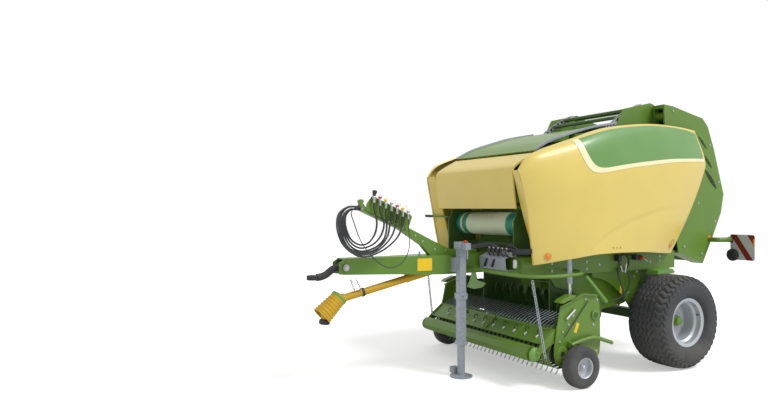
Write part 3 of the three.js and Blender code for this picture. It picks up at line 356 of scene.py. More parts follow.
def mix(tree, share, first, second):
    """The first colour where share is 0 and the second where it is 1."""
    return node(tree, "Mix", {"Factor": share, 6: first, 7: second}, data_type="RGBA").outputs[2]


def new_group(name, inputs, outputs):
    """An empty shader node group with named sockets."""
    tree = bpy.data.node_groups.new(name, "ShaderNodeTree")
    for way, sockets in (("INPUT", inputs), ("OUTPUT", outputs)):
        for label, kind, *value in sockets:
            socket = tree.interface.new_socket(label, in_out=way, socket_type="NodeSocket" + kind)
            if value:
                socket.default_value = value[0]
    return tree, tree.nodes.new("NodeGroupInput").outputs, tree.nodes.new("NodeGroupOutput").inputs


# %% The weathering group
weathering, take, give = new_group(
    "weathering",
    [("Colour", "Color"), ("Dust Colour", "Color"), ("Worn Colour", "Color"),
     ("Dust", "Float", 0.3), ("Wear", "Float", 0.3), ("Roughness", "Float", 0.4),
     ("Variation", "Float", 0.08)],
    [("Colour", "Color"), ("Roughness", "Float"), ("Metal", "Float")],
)
spot = node(weathering, "TexCoord").outputs["Object"]
patches = node(weathering, "TexNoise", {"Vector": spot, "Scale": 3.1, "Detail": 5.0,
                                        "Roughness": 0.6}).outputs["Fac"]
specks = node(weathering, "TexNoise", {"Vector": spot, "Scale": 38.0, "Detail": 6.0,
                                       "Roughness": 0.7}).outputs["Fac"]
surface = node(weathering, "NewGeometry").outputs["Normal"]
upward = node(weathering, "SeparateXYZ", {"Vector": surface}).outputs["Z"]
height = node(weathering, "SeparateXYZ", {"Vector": spot}).outputs["Z"]
near_ground = ramp(weathering, height, 0.9, 0.05, 0.1, 1.0)
looks_up = ramp(weathering, upward, 0.1, 0.95, 0.12, 1.0)
drift = ramp(weathering, patches, 0.35, 0.7, 0.15, 1.0)
grit = ramp(weathering, specks, 0.3, 0.75, 0.5, 1.0)
reached = math_node(weathering, "MAXIMUM", near_ground, looks_up)
settled = math_node(weathering, "MULTIPLY", reached, drift)
gritty = math_node(weathering, "MULTIPLY", settled, grit)
dust = math_node(weathering, "MULTIPLY", gritty, take["Dust"])
rounded = node(weathering, "Bevel", {"Radius": 0.006}, samples=4).outputs["Normal"]
turn = node(weathering, "VectorMath", {0: rounded, 1: surface}, operation="DOT_PRODUCT")
edge = ramp(weathering, turn.outputs["Value"], 0.99, 0.85, 0.0, 1.0)
chipped = math_node(weathering, "GREATER_THAN", specks, 0.5)
scuffed = math_node(weathering, "MULTIPLY", edge, chipped)
wear = math_node(weathering, "MULTIPLY", scuffed, take["Wear"])
darker = mix(weathering, take["Variation"], take["Colour"], (0.0, 0.0, 0.0, 1.0))
toned = mix(weathering, ramp(weathering, patches, 0.3, 0.7, 1.0, 0.0), take["Colour"], darker)
rubbed = mix(weathering, wear, toned, take["Worn Colour"])
dusted = mix(weathering, dust, rubbed, take["Dust Colour"])
uneven = math_node(weathering, "MULTIPLY", patches, 0.16)
dull = math_node(weathering, "MULTIPLY", dust, 0.45)
rough = math_node(weathering, "ADD", math_node(weathering, "ADD", take["Roughness"], uneven), dull)
weathering.links.new(dusted, give["Colour"])
weathering.links.new(rough, give["Roughness"])
weathering.links.new(wear, give["Metal"])

# %% The spangle and orange peel groups
spangle, take, give = new_group(
    "spangle", [("Colour", "Color"), ("Scale", "Float", 60.0), ("Contrast", "Float", 0.3)],
    [("Colour", "Color"), ("Roughness", "Float")])
spot = node(spangle, "TexCoord").outputs["Object"]
crystals = node(spangle, "TexVoronoi", {"Vector": spot, "Scale": take["Scale"]})
value = node(spangle, "SeparateColor", {"Color": crystals.outputs["Color"]}).outputs[0]
streaks = node(spangle, "TexNoise", {"Vector": spot, "Scale": 6.0, "Detail": 4.0}).outputs["Fac"]
light = ramp(spangle, value, 0.0, 1.0, 1.12, 0.72)
stained = ramp(spangle, streaks, 0.35, 0.7, 1.05, 0.8)
factor = node(spangle, "Math", {0: light, 1: stained}, operation="MULTIPLY").outputs[0]
bright = node(spangle, "VectorMath", {0: take["Colour"], "Scale": factor},
              operation="SCALE").outputs[0]
spangle.links.new(mix(spangle, take["Contrast"], take["Colour"], bright), give["Colour"])
spangle.links.new(ramp(spangle, value, 0.0, 1.0, 0.34, 0.6), give["Roughness"])

orange_peel, take, give = new_group(
    "orange peel", [("Scale", "Float", 300.0), ("Depth", "Float", 0.3)], [("Height", "Float")])
spot = node(orange_peel, "TexCoord").outputs["Object"]
fine = node(orange_peel, "TexNoise", {"Vector": spot, "Scale": take["Scale"], "Detail": 3.0})
orange_peel.links.new(math_node(orange_peel, "MULTIPLY", fine.outputs["Fac"], take["Depth"]),
                      give["Height"])
print("node groups", [g.name for g in bpy.data.node_groups])


# %% Finishes
def finish(name, colour, roughness, metallic=0.0, dust=0.3, wear=0.0, variation=0.1, peel=0.3,
           peel_scale=300.0, coat=0.0, zinc=0.0, worn=(150, 152, 150), dusty=(150, 138, 112)):
    """A weathered finish. zinc over 0 adds the spangle pattern of that contrast."""
    material = bpy.data.materials.new(name)
    material.use_nodes = True
    tree = material.node_tree
    shader = tree.nodes["Principled BSDF"]
    shader.inputs["Metallic"].default_value = metallic
    shader.inputs["Coat Weight"].default_value = coat
    shader.inputs["Coat Roughness"].default_value = 0.12
    look = node(tree, "Group", node_tree=weathering)
    values = {"Colour": rgb(*colour), "Dust Colour": rgb(*dusty), "Worn Colour": rgb(*worn),
              "Dust": dust, "Wear": wear, "Roughness": roughness, "Variation": variation}
    for key, value in values.items():
        look.inputs[key].default_value = value
    if zinc:
        pattern = node(tree, "Group", node_tree=spangle)
        pattern.inputs["Colour"].default_value = rgb(*colour)
        pattern.inputs["Contrast"].default_value = zinc
        tree.links.new(pattern.outputs["Colour"], look.inputs["Colour"])
        tree.links.new(pattern.outputs["Roughness"], look.inputs["Roughness"])
    grain = node(tree, "Group", {"Scale": peel_scale, "Depth": peel}, node_tree=orange_peel)
    bump = node(tree, "Bump", {"Height": grain.outputs["Height"], "Strength": 0.25,
                               "Distance": 0.002})
    tree.links.new(look.outputs["Colour"], shader.inputs["Base Color"])
    tree.links.new(look.outputs["Roughness"], shader.inputs["Roughness"])
    tree.links.new(bump.outputs["Normal"], shader.inputs["Normal"])
    return material


green = finish("green paint", (93, 132, 34), 0.36, wear=0.3, dust=0.16, coat=0.15)
# A darker copy of the green paint for the inner and lower parts: the darkness is painted shade.
green_with_painted_shade = finish("green paint with painted shade", (58, 92, 32), 0.45, wear=0.35, dust=0.2)
# A lighter copy of the green paint: the extra lightness is painted light.
green_with_painted_light = finish("green paint with painted light", (112, 160, 66), 0.34, wear=0.3, dust=0.12, coat=0.15)
cream = finish("cream hood plastic", (222, 199, 104), 0.34, dust=0.05, variation=0.05, coat=0.2)
# The hood's cream made paler for the raised rim: a painted highlight.
cream_with_painted_highlight = finish("cream rim with painted highlight", (244, 234, 190), 0.34, dust=0.05, variation=0.04, coat=0.2)
band_green = finish("green band film", (98, 148, 72), 0.3, dust=0.06, variation=0.08, coat=0.3)
zinc = finish("hot dip zinc", (172, 180, 190), 0.42, 0.5, dust=0.15, zinc=0.4, variation=0.1)
silver = finish("silver wheel paint", (190, 195, 202), 0.36, 0.45, dust=0.25, variation=0.06)
steel = finish("bright steel", (190, 192, 194), 0.3, 0.85, dust=0.12, variation=0.1)
chrome = finish("chromed rod", (205, 208, 212), 0.12, 1.0, dust=0.05, peel=0.05)
iron = finish("black cast iron", (46, 48, 52), 0.5, 0.3, wear=0.5, dust=0.3, peel=0.9,
              peel_scale=180.0)
tyre_rubber = finish("tyre rubber", (58, 61, 66), 0.72, dust=0.5, peel=0.8, peel_scale=220.0,
                     variation=0.22, dusty=(140, 134, 122))
hose_rubber = finish("hose rubber", (44, 47, 52), 0.5, dust=0.2, peel=0.6, peel_scale=500.0)
black_plastic = finish("black plastic", (34, 36, 38), 0.42, dust=0.25, peel=0.5)
guard_yellow = finish("guard yellow plastic", (206, 164, 24), 0.45, dust=0.25, variation=0.22,
                      dusty=(120, 104, 50))
label_yellow = finish("blank yellow label", (240, 200, 24), 0.4, dust=0.05, peel=0.05)
teal = finish("teal wrapping film", (20, 128, 100), 0.4, dust=0.05, peel=0.6, peel_scale=160.0)
net_cream = finish("cream net edge", (214, 208, 160), 0.6, dust=0.05)
net_pale = finish("pale net wrap", (206, 216, 182), 0.7, dust=0.05, peel=1.0, peel_scale=140.0)
amber = finish("amber lens", (240, 130, 20), 0.18, dust=0.08, coat=0.6, peel=0.05)
red_lens = finish("red lens", (190, 20, 14), 0.2, dust=0.08, coat=0.6, peel=0.05)
ochre = finish("ochre lens seat", (204, 170, 74), 0.4, dust=0.08)
sign_white = finish("white sign sheet", (220, 222, 228), 0.4, dust=0.1)
# Painted shade for the gate's leaf-shaped openings.
opening_shade_green = finish("shaded green recess", (36, 54, 20), 0.8, dust=0.1)
shadow_black = finish("painted shade in holes and slots", (16, 18, 14), 0.8, dust=0.1)
print("finishes", len(bpy.data.materials))

# %% [markdown]
# ## Finishes on the solid pieces
# Pieces whose shape is already right keep their solid and take a finish from the list above. The
# name of each piece says what it is made of: frames and gates are sprayed steel, guards are
# moulded, and the parts that are bought in are zinc plated or cast.

# %% Paint the solid pieces
def coated(material, *names):
    """Puts one finish on each of these solid pieces."""
    for name in names:
        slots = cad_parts[name].data.materials
        slots.clear()
        slots.append(material)


def pair(*names):
    """Each name with _left and with _right."""
    return [f"{name}_{side}" for name in names for side in ("left", "right")]


coated(green, "main_frame", "front_chamber", "rear_gate", "drawbar", "hose_arm", "roof_cover",
       "pickup_frame", "crop_guard", "crop_roller", *pair("front_bar", "hub", "gate_cylinder"))
# The inner and lower parts take the green with painted shade.
coated(green_with_painted_shade, "front_elevator", "rear_elevator", "feed_housing", "feed_rotor", "net_cradle",
       "axle")
coated(cream, "net_hood", *pair("hood"))
coated(zinc, "jack_tube", "jack_leg", "hose_cover", *pair("lift_cylinder"))
coated(silver, *pair("rim", "guide_rim"))
coated(chrome, *pair("gate_rod", "lift_rod"))
coated(iron, "hitch_eye", "drive_shaft_yoke", "gearbox", "coupler_rack", "pickup_rotor")
coated(tyre_rubber, *pair("tyre", "guide_tyre"))
coated(hose_rubber, "control_cable", *[f"hose_{i}" for i in range(1, 7)])
coated(guard_yellow, "drive_shaft_guard")
coated(net_pale, "net_roll")
coated(sign_white, *pair("light_board"))
print("painted", len(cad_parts), "solid pieces")

# %% [markdown]
# ## Hoses and the control cable
# Six hydraulic hoses hang in loops from their couplers to the tip of the hose arm, and a thin
# cable hangs lower beside them. Each keeps the route of its solid: straight down out of its
# coupler, round its loop in a lane of its own, and straight into the arm. The route is a smooth
# curve through given points, and a round section is carried along it.

# %% The hose routes
def route_line(points, count):
    """Points at even distances on the centripetal curve through points: each stretch is a cubic
    whose end slopes come from the square roots of the distances to its neighbours."""
    p = np.asarray(points, float)
    p = np.vstack([2 * p[0] - p[1], p, 2 * p[-1] - p[-2]])
    t = np.linspace(0, len(p) - 3, 1201)
    i = np.minimum(t.astype(int), len(p) - 4)
    w = (t - i)[:, None]
    a, b, c, d = p[i], p[i + 1], p[i + 2], p[i + 3]
    before, here, after = [np.sqrt(np.linalg.norm(q - r, axis=1))[:, None]
                           for q, r in ((a, b), (b, c), (c, d))]
    leave = ((b - a) / before - (c - a) / (before + here) + (c - b) / here) * here
    arrive = ((c - b) / here - (d - b) / (here + after) + (d - c) / after) * here
    line = (b + leave * w + (3 * (c - b) - 2 * leave - arrive) * w**2
            + (2 * (b - c) + leave + arrive) * w**3)
    return resampled(line, count)


rack_first, rack_last = np.array([-3.472, 1.962]), np.array([-3.06, 1.786])
rack_spots = rack_first + (rack_last - rack_first) * np.arange(7)[:, None] / 6
hose_x, hose_drop, arm_tip = 0.1323, 0.0603, -3.6103
loop_y = [(-3.439, -3.461, -3.533, -3.625, -3.729, -3.792),
          (-3.356, -3.396, -3.494, -3.637, -3.751, -3.82),
          (-3.326, -3.358, -3.462, -3.649, -3.776, -3.846),
          (-3.293, -3.334, -3.466, -3.662, -3.803, -3.876),
          (-3.228, -3.296, -3.462, -3.668, -3.836, -3.904),
          (-3.158, -3.238, -3.436, -3.674, -3.867, -3.938)]
loop_z = [(1.69, 1.57, 1.484, 1.467, 1.527, 1.674), (1.69, 1.555, 1.466, 1.436, 1.503, 1.664),
          (1.662, 1.536, 1.444, 1.406, 1.48, 1.655), (1.662, 1.542, 1.424, 1.39, 1.462, 1.645),
          (1.656, 1.541, 1.41, 1.374, 1.462, 1.65), (1.625, 1.528, 1.402, 1.355, 1.474, 1.652)]
hose_loops = [list(zip(*loop)) for loop in zip(loop_y, loop_z)]
lane_shares = [0.2, 0.6, 0.9, 1, 1, 1]
hose_returns = [
    [(0.31, -3.774, 1.775), (0.77, -3.71, 1.826)], [(0.3, -3.797, 1.776), (0.76, -3.718, 1.83)],
    [(0.3, -3.823, 1.778), (0.74, -3.731, 1.834)], [(0.3, -3.849, 1.78), (0.79, -3.746, 1.853)],
    [(0.32, -3.876, 1.786), (0.75, -3.761, 1.856)], [(0.28, -3.903, 1.783), (0.68, -3.776, 1.856)],
]


def hose_route(i):
    """The points of one hose: down from its coupler, over to its lane, round, and to the arm."""
    y, z = rack_spots[i]
    lane = 0.108 + 0.024 * i
    end_x, end_z = 0.03 + 0.0235 * (i % 3), 1.834 + 0.028 * (i // 3)
    points = [(hose_x, y, z - hose_drop), (hose_x, y - 0.001, z - hose_drop - 0.06)]
    points += [(hose_x + share * (lane - hose_x), *at)
               for share, at in zip(lane_shares, hose_loops[i])]
    points += [(lane + share * (end_x - lane), *at) for share, *at in hose_returns[i]]
    return points + [(end_x, -3.665, end_z), (end_x, arm_tip, end_z)]


cable_route = [
    (hose_x, -3.06, 1.7257), (hose_x, -3.06, 1.66), (hose_x + 0.04, -3.07, 1.56),
    (0.23, -3.112, 1.41), (0.262, -3.2, 1.29), (0.272, -3.345, 1.232), (0.276, -3.47, 1.272),
    (0.278, -3.6, 1.385), (0.262, -3.69, 1.512), (0.2, -3.735, 1.69), (0.12, -3.73, 1.8),
    (0.0934, -3.68, 1.846), (0.0934, -3.6, 1.848),
]

# %% The hoses and the cable
cords = [(f"hose_{i + 1}", hose_route(i), 0.01, "stiff") for i in range(6)]
cords.append(("control_cable", cable_route, 0.005, "medium"))
for name, route, radius, stiffness in cords:
    line = route_line(route, 161)
    piece = make(f"{name}_run", tube(line, radius, 20, (0.3, 0.1, 1)), hose_rubber, "chassis",
                 [name], "hose")

# %% [markdown]
# ## Side hoods
# Each side hood is one large moulded panel. Its outline is bounded by four curves seen from the
# side, and a blend of those four curves gives every point inside them. Its bulge is a second
# function: it rises from the front fold to a widest place and falls away to the rear edge, and it
# rolls inwards under the top edge. A long crease is pressed into the lower half for stiffness.

# %% Hood functions
hood_bottom = [[-1.985, 1.248], [-1.6, 1.306], [-1.19, 1.35], [-0.52, 1.347], [-0.1, 1.318],
               [0.245, 1.296]]
hood_top = [[-2.185, 2.243], [-2, 2.42], [-1.424, 2.611], [-0.938, 2.752], [-0.268, 2.841],
            [0.276, 2.846], [0.658, 2.813]]
hood_front = [[-1.985, 1.248], [-2.05, 1.6], [-2.1, 1.885], [-2.185, 2.243]]
hood_rear = [[0.245, 1.296], [0.577, 1.78], [0.829, 2.243], [0.869, 2.463], [0.658, 2.813]]
crease_line = [(0.3, 0.04), (0.352, 0.11), (0.432, 0.177), (0.522, 0.233), (0.638, 0.278),
               (0.9, 0.312)]


def hood_side(u, v):
    """y and z of a hood's point: the sum of the two blends between facing edges, less the blend
    of the four corners, which the sum counts twice."""
    u_, v_ = u[..., None], v[..., None]
    bottom, top = smooth_line(hood_bottom, u), smooth_line(hood_top, u)
    front, rear = smooth_line(hood_front, v), smooth_line(hood_rear, v)
    corners = ((1 - u_) * (1 - v_) * hood_bottom[0] + u_ * (1 - v_) * hood_bottom[-1]
               + (1 - u_) * v_ * hood_top[0] + u_ * v_ * hood_top[-1])
    return (1 - v_) * bottom + v_ * top + (1 - u_) * front + u_ * rear - corners


def hood_out(u, v):
    """How far a hood's point lies from the middle: a quarter sine up to the widest place and a
    quarter cosine down, a rounded roll to the top edge, and a small tuck at the bottom."""
    rise = np.where(u < 0.4, np.sin(np.pi / 2 * u / 0.4), np.cos(np.pi / 2 * (u - 0.4) / 0.6))
    middle = 0.92 - 0.058 * u + (1.1 - 0.891) * rise
    roll = 1 - np.sqrt(np.maximum(0, 1 - (np.maximum(0, v - 0.55) / 0.45) ** 2.4))
    return middle + (0.872 - middle) * roll - 0.026 * (1 - v) ** 3


def crease(u, v):
    """Depth of the pressed crease: none above its line, steep just under it, then fading out."""
    line = np.array(crease_line)
    below = np.interp(u, line[:, 0], line[:, 1]) - v
    ends = np.clip((u - 0.3) / 0.08, 0, 1) * np.clip((0.9 - u) / 0.3, 0, 1)
    return 0.012 * ends * np.clip(below / 0.018, 0, 1) * np.exp(-np.maximum(below, 0) / 0.07)


def hood_point(u, v):
    """A point of the left hood's outer face."""
    yz = hood_side(u, v)
    return np.stack([hood_out(u, v) - crease(u, v), yz[..., 0], yz[..., 1]], -1)


def hood_normal(u, v):
    """Outward direction at a hood's point, from two short steps along the face."""
    step = 1e-3
    du = hood_point(np.minimum(u + step, 1), v) - hood_point(np.maximum(u - step, 0), v)
    dv = hood_point(u, np.minimum(v + step, 1)) - hood_point(u, np.maximum(v - step, 0))
    return unit(np.cross(du, dv))


def on_hood(u, v, lift=0.0):
    """A point that stands off a hood's face by lift."""
    return hood_point(u, v) + lift * hood_normal(u, v)


def square(nu, nv):
    """Two arrays of shares from 0 to 1, for a grid of nu by nv points."""
    return np.meshgrid(np.linspace(0, 1, nu), np.linspace(0, 1, nv), indexing="ij")


# %% The hood panels
hood_wall = 0.022


def front_strip(u, v):
    """A point of the strip that turns in at a hood's front, from its inner edge at u 0 to the fold
    at u 1. It leans back towards its inner edge, most at the bottom."""
    fold = hood_point(0 * v, v)
    inner_edge = 0.752 + 0.03 * (1 - v) ** 2
    x = inner_edge + (fold[..., 0] - inner_edge) * u
    back = (1 - u) * (0.04 + 0.11 * (1 - v) ** 2)
    return np.stack([x, fold[..., 1] + back, fold[..., 2]], -1)


def hood_panel():
    """The hood's bulged face with its wall, and the narrow strip that turns in at its front."""
    u, v = square(121, 81)
    outer = hood_point(u, v)
    lean = np.pi / 3 * np.maximum(0, (v - 0.5) / 0.5) ** 2
    inward = np.stack([-np.cos(lean), 0 * lean, -np.sin(lean)], -1)
    strip = front_strip(*square(8, 81))
    return merged(slab(outer, outer + hood_wall * inward), slab(strip, strip + [0, hood_wall, 0]))


make_pair("hood_panel", hood_panel(), cream, "hood_*", ["hood_*"], "cream_panel", sharp=50)

# %% [markdown]
# The green band on the upper rear half is a film stuck on the panel, with a raised rim round its
# front and lower edges, paler than the hood as a painted highlight. Both are thin sheets between
# two lines drawn on the hood's own face, so they follow its bulge exactly. The lamps, holes and
# labels stand on the face in the same way.

# %% Band, rim, lamps and labels on the hoods
band_low = [(0.335, 0.978), (0.326, 0.85), (0.335, 0.765), (0.365, 0.722), (0.42, 0.703),
            (0.52, 0.694), (0.66, 0.698), (0.8, 0.715), (0.962, 0.748)]
band_top = [(0.335, 0.978), (0.38, 0.975), (0.44, 0.973), (0.52, 0.972), (0.6, 0.971),
            (0.7, 0.969), (0.8, 0.968), (0.9, 0.966), (0.985, 0.955)]
rim_low = [(0.312, 0.982), (0.302, 0.84), (0.312, 0.735), (0.35, 0.682), (0.42, 0.66),
           (0.52, 0.65), (0.66, 0.655), (0.8, 0.677), (0.97, 0.715)]
lens_places = [(0.088, 0.08), (0.897, 0.065)]
seat_places = [*lens_places, (0.907, 0.085)]
hole_places = [(0.453, 0.052), (0.47, 0.05), (0.485, 0.048)]


def between(first, second, lift, count=(90, 14)):
    """A thin closed sheet on a hood between two lines of [u, v], lifted off its face."""
    s, t = square(*count)
    line = smooth_line(first, s) * (1 - t[..., None]) + smooth_line(second, s) * t[..., None]
    u, v = np.clip(line[..., 0], 0, 1), np.clip(line[..., 1], 0, 1)
    return slab(on_hood(u, v, lift), on_hood(u, v, -0.002))


def hood_spots(places, one):
    """Copies of a shape that faces +Z, standing on a hood at [u, v] places."""
    u, v = np.array(places, float).T
    return stamped(one, on_hood(u, v), facing(hood_normal(u, v)))


lens = button([[0, 0], [0.027, 0], [0.027, 0.004], [0.02, 0.009], [0, 0.011]], (0, 0, 0), sides=24)
seat = lathe([[0.026, 0.001], [0.04, 0.001], [0.042, 0.004], [0.039, 0.006], [0.026, 0.003]],
             axis=UP, sides=28)
hole = button([[0, 0], [0.0075, 0], [0.0075, 0.0015], [0, 0.0015]], (0, 0, 0), sides=12)
label = between([(0.9, 0.105), (0.915, 0.105)], [(0.9, 0.17), (0.915, 0.17)], 0.0018, (6, 10))
make_pair("hood_band", between(band_low, band_top, 0.0016), band_green, "hood_*")
# The rim's pale colour is a painted highlight.
make_pair("hood_rim", between(rim_low, band_low, 0.005, (90, 8)), cream_with_painted_highlight, "hood_*")
make_pair("hood_lenses", hood_spots(lens_places, lens), amber, "hood_*")
make_pair("hood_lens_seats", hood_spots(seat_places, seat), ochre, "hood_*")
# The holes are dark discs on the face: painted shade.
make_pair("hood_holes", hood_spots(hole_places, hole), shadow_black, "hood_*")
make_pair("hood_label", label, label_yellow, "hood_*")
print({key: made[key] for key in made if key.startswith("hood")})

# %% [markdown]
# ## Net hood and roof
# The net hood closes the front above the net roll. It is one sheet that falls steeply from a soft
# fold. The roof is a painted sheet with a zinc-finished seal along each side, where the side hoods
# close.

# %% Net hood and roof
net_hood_line = [[-2.098, 1.842], [-2.116, 1.95], [-2.128, 2.08], [-2.138, 2.24],
                 [-2.105, 2.302], [-1.99, 2.372], [-1.838, 2.448]]
net_hood_half = 0.738
roof_line = [[-1.822, 2.476], [-1.6, 2.584], [-1.3, 2.68], [-0.97, 2.77], [-0.56, 2.846]]


def offset_line(line, depth):
    """A line in y and z moved sideways by depth: each point moves square to the line there."""
    d = unit(np.gradient(line, axis=0))
    return line + depth * np.stack([d[:, 1], -d[:, 0]], -1)


def sheet_across(line, half, thickness):
    """A closed sheet across the machine from -half to half over a line in y and z."""
    x = np.linspace(-half, half, 13)

    def layer(yz):
        points = np.zeros((len(yz), len(x), 3))
        points[..., 0], points[..., 1], points[..., 2] = x, yz[:, :1], yz[:, 1:]
        return points

    return slab(layer(line), layer(offset_line(line, thickness)))


hood_sheet = sheet_across(bend(net_hood_line, 60, 200), net_hood_half, 0.02)
lip = tube(np.array([[-0.736, 0, 0], [0, 0, 0], [0.736, 0, 0]]) + [0, -2.088, 1.848], 0.009, 10,
           (0, 1, 0))
ear = prism([(-1.88, 2.394), (-1.895, 2.42), (-1.85, 2.44), (-1.832, 2.44), (-1.826, 2.396),
             (-1.85, 2.376)], "x", 0.56, 0.58)
make("net_hood_panel", merged(hood_sheet, lip, both(ear)), cream, "net_hood", ["net_hood"],
     "cream_panel", sharp=50)
roof_run = bend(roof_line, 50, 120)
stay = block((0.623, 0.69), (-1.22, -1.19), (2.5, 2.696))
make("roof_sheet", merged(sheet_across(roof_run, 0.712, 0.014), both(stay)), green, "chassis",
     ["roof_cover"], "green_paint", bevel=0.003, sharp=50)
seal_section = [(-0.012, -0.014), (0.012, -0.014), (0.012, 0.01), (0, 0.016), (-0.012, 0.01)]
seal_run = np.column_stack([np.full(50, 0.722), roof_run + [0, 0.004]])
make("roof_seals", both(sweep(seal_run, seal_section)), zinc, "chassis", slot="galvanised")
print("net hood and roof made")

# %% [markdown]
# ## Wheels
# The wide flotation tyre has zigzag ribs round the crown and curved lugs that wrap over each
# shoulder. It is one grid: a rounded section turned about the axle, pushed inwards by the depth of
# the tread at each point. A modelled tread keeps its outline against the light, which a bump
# cannot.

# %% Tyre functions
def wave(phase):
    """A zigzag between -1 and 1 with one swing for each whole phase and slightly round corners."""
    return np.arcsin(0.96 * np.sin(2 * np.pi * phase)) / np.arcsin(0.96)


def groove(distance, half):
    """1 in the middle of a groove and 0 outside it, with walls that slope over its outer third."""
    return np.clip((half - np.abs(distance)) / (0.35 * half), 0, 1)


wheel_x, axle_height, tyre_radius = 1.05, 0.535, 0.535
tread_deep = 0.0145
tread_pitches = 40
tyre_half_section = [(0.2665, 0.187), (0.288, 0.2), (0.318, 0.231), (0.37, 0.2448), (0.43, 0.2435),
                     (0.482, 0.228), (0.513, 0.2), (0.527, 0.168), (0.5328, 0.12), (0.5348, 0.06),
                     (tyre_radius, 0.0)]


def tread_depth(x, radius, phase):
    """Depth of the tread: five zigzag grooves round the crown, and lugs at the shoulder whose
    curved grooves fade out down the sidewall."""
    crown = np.clip((0.162 - np.abs(x)) / 0.012, 0, 1)
    swing = 0.013 * wave(phase)
    rounds = sum(groove(x - at - swing, 0.0095) for at in (-0.116, -0.058, 0.0, 0.058, 0.116))
    lean = phase + 4.2 * (np.abs(x) - 0.14) + 0.3 * np.sin(9 * (tyre_radius - radius) / 0.1)
    lug = groove(lean % 1 - 0.5, 0.27)
    fade = np.clip((np.abs(x) - 0.13) / 0.012, 0, 1) * np.clip((radius - 0.425) / 0.045, 0, 1)
    return np.clip(tread_deep * np.maximum(crown * rounds, fade * lug), 0, tread_deep)


def tyre():
    """The left tyre: point = centre + (radius - depth) round the axle, with a plain inner face."""
    half = smooth_line(tyre_half_section, np.linspace(0, 1, 240))
    section = resampled(np.vstack([half, half[-2::-1] * [1, -1]]), 122)
    slope = unit(np.gradient(section, axis=0))
    phase = np.linspace(0, tread_pitches, 16 * tread_pitches, endpoint=False)[None]
    depth = tread_depth(section[:, 1:], section[:, :1], phase)
    radius = section[:, :1] + depth * slope[:, 1:]
    x = section[:, 1:] - depth * slope[:, :1]
    inner = np.array([(0.29, -0.165), (0.4, -0.205), (0.49, -0.15), (0.49, 0.15), (0.4, 0.205),
                      (0.29, 0.165)])[:, :, None] + 0 * phase
    radius, x = np.vstack([radius, inner[:, 0]]), np.vstack([x, inner[:, 1]])
    angle = 2 * np.pi * phase / tread_pitches
    points = [wheel_x + x, radius * np.sin(angle), axle_height + radius * np.cos(angle)]
    return grid(np.stack(points, -1), wrap_u=True, wrap_v=True)


# %% [markdown]
# The wheel is a deep silver rim with a step inside its edge. Its green hub stands out of the disc
# with a round cap, and eight nuts hold the disc. The smooth guide wheels are small and narrow.

# %% Main wheels
def ring_of(count, radius, centre, offset=0.0):
    """Places evenly round a line along x through the centre, at a radius."""
    t = 2 * np.pi * (np.arange(count) + offset) / count
    return np.stack([0 * t, radius * np.sin(t), radius * np.cos(t)], -1) + centre


rim_section = [(0.279, 0.197), (0.2792, 0.19), (0.272, 0.188), (0.2545, 0.186), (0.2535, 0.15),
               (0.246, 0.132), (0.222, 0.104), (0.2185, 0.09), (0.2185, -0.09), (0.222, -0.104),
               (0.2535, -0.15), (0.2545, -0.186), (0.279, -0.19), (0.279, -0.197),
               (0.262, -0.194), (0.243, -0.16), (0.236, -0.13), (0.212, -0.1), (0.212, 0.094),
               (0.216, 0.112), (0.237, 0.134), (0.241, 0.162), (0.2425, 0.187), (0.262, 0.194)]
disc_section = [(0.0632, -0.042), (0.0632, -0.05), (0.14, -0.05), (0.2135, -0.022),
                (0.2135, -0.012), (0.206, -0.012), (0.176, -0.026), (0.142, -0.04), (0.12, -0.042)]
hub_section = [(0, 0.092), (0.034, 0.0915), (0.045, 0.088), (0.0505, 0.08), (0.052, 0.062),
               (0.0605, 0.058), (0.062, 0.05), (0.062, -0.0523), (0.112, -0.0525),
               (0.112, -0.078), (0.074, -0.08), (0.074, -0.13), (0.09, -0.145), (0.09, -0.19),
               (0, -0.19)]
middle = (wheel_x, 0, axle_height)
rim = merged(lathe(rim_section, middle, LEFT, 96), lathe(disc_section, middle, LEFT, 96))
nuts = stamped(bolt(0.013, 0.018), ring_of(8, 0.088, (1.0085, 0, axle_height)), facing(LEFT))
valve = tube([(1.19, 0.225, 0.6), (1.225, 0.215, 0.597)], 0.006, 8, UP)
make_pair("tread_tyre", tyre(), tyre_rubber, "wheel_*", ["tyre_*"], "tyre", sharp=40)
make_pair("deep_rim", rim, silver, "wheel_*", ["rim_*"], "rim", sharp=30)
make_pair("wheel_nuts", nuts, steel, "wheel_*", slot="rim")
make_pair("valve", valve, black_plastic, "wheel_*")
make_pair("hub_cap", button(hub_section, middle, LEFT, 48), green, "wheel_*", ["hub_*"],
          "green_paint", bevel=0.0015)
print("tyre faces", made["tread_tyre_left"])

# %% Guide wheels
guide_x, guide_y, guide_height = 1.21, -1.64, 0.215
guide_tyre_section = [(0.105, 0.06), (0.112, 0.0695), (0.128, 0.0745), (0.16, 0.075),
                      (0.186, 0.0715), (0.203, 0.061), (0.211, 0.048), (0.2142, 0.034),
                      (0.2118, 0.0305), (0.2146, 0.027), (0.2149, 0.0035), (0.212, 0.0)]
other_half = [(r, -x) for r, x in guide_tyre_section[-2::-1]]
guide_rim_section = [(0.1045, 0.066), (0.107, 0.0655), (0.1045, 0.058), (0.098, 0.052),
                     (0.094, 0.03), (0.094, -0.03), (0.098, -0.052), (0.107, -0.0655),
                     (0.1045, -0.066), (0.096, -0.062), (0.089, -0.034), (0.088, -0.004),
                     (0.06, -0.002), (0.036, -0.01), (0.036, -0.04), (0.0125, -0.04),
                     (0.0125, 0.04), (0.028, 0.04), (0.031, 0.034), (0.032, 0.012),
                     (0.058, 0.006), (0.078, 0.012), (0.086, 0.014), (0.089, 0.034), (0.096, 0.06)]
middle = (guide_x, guide_y, guide_height)
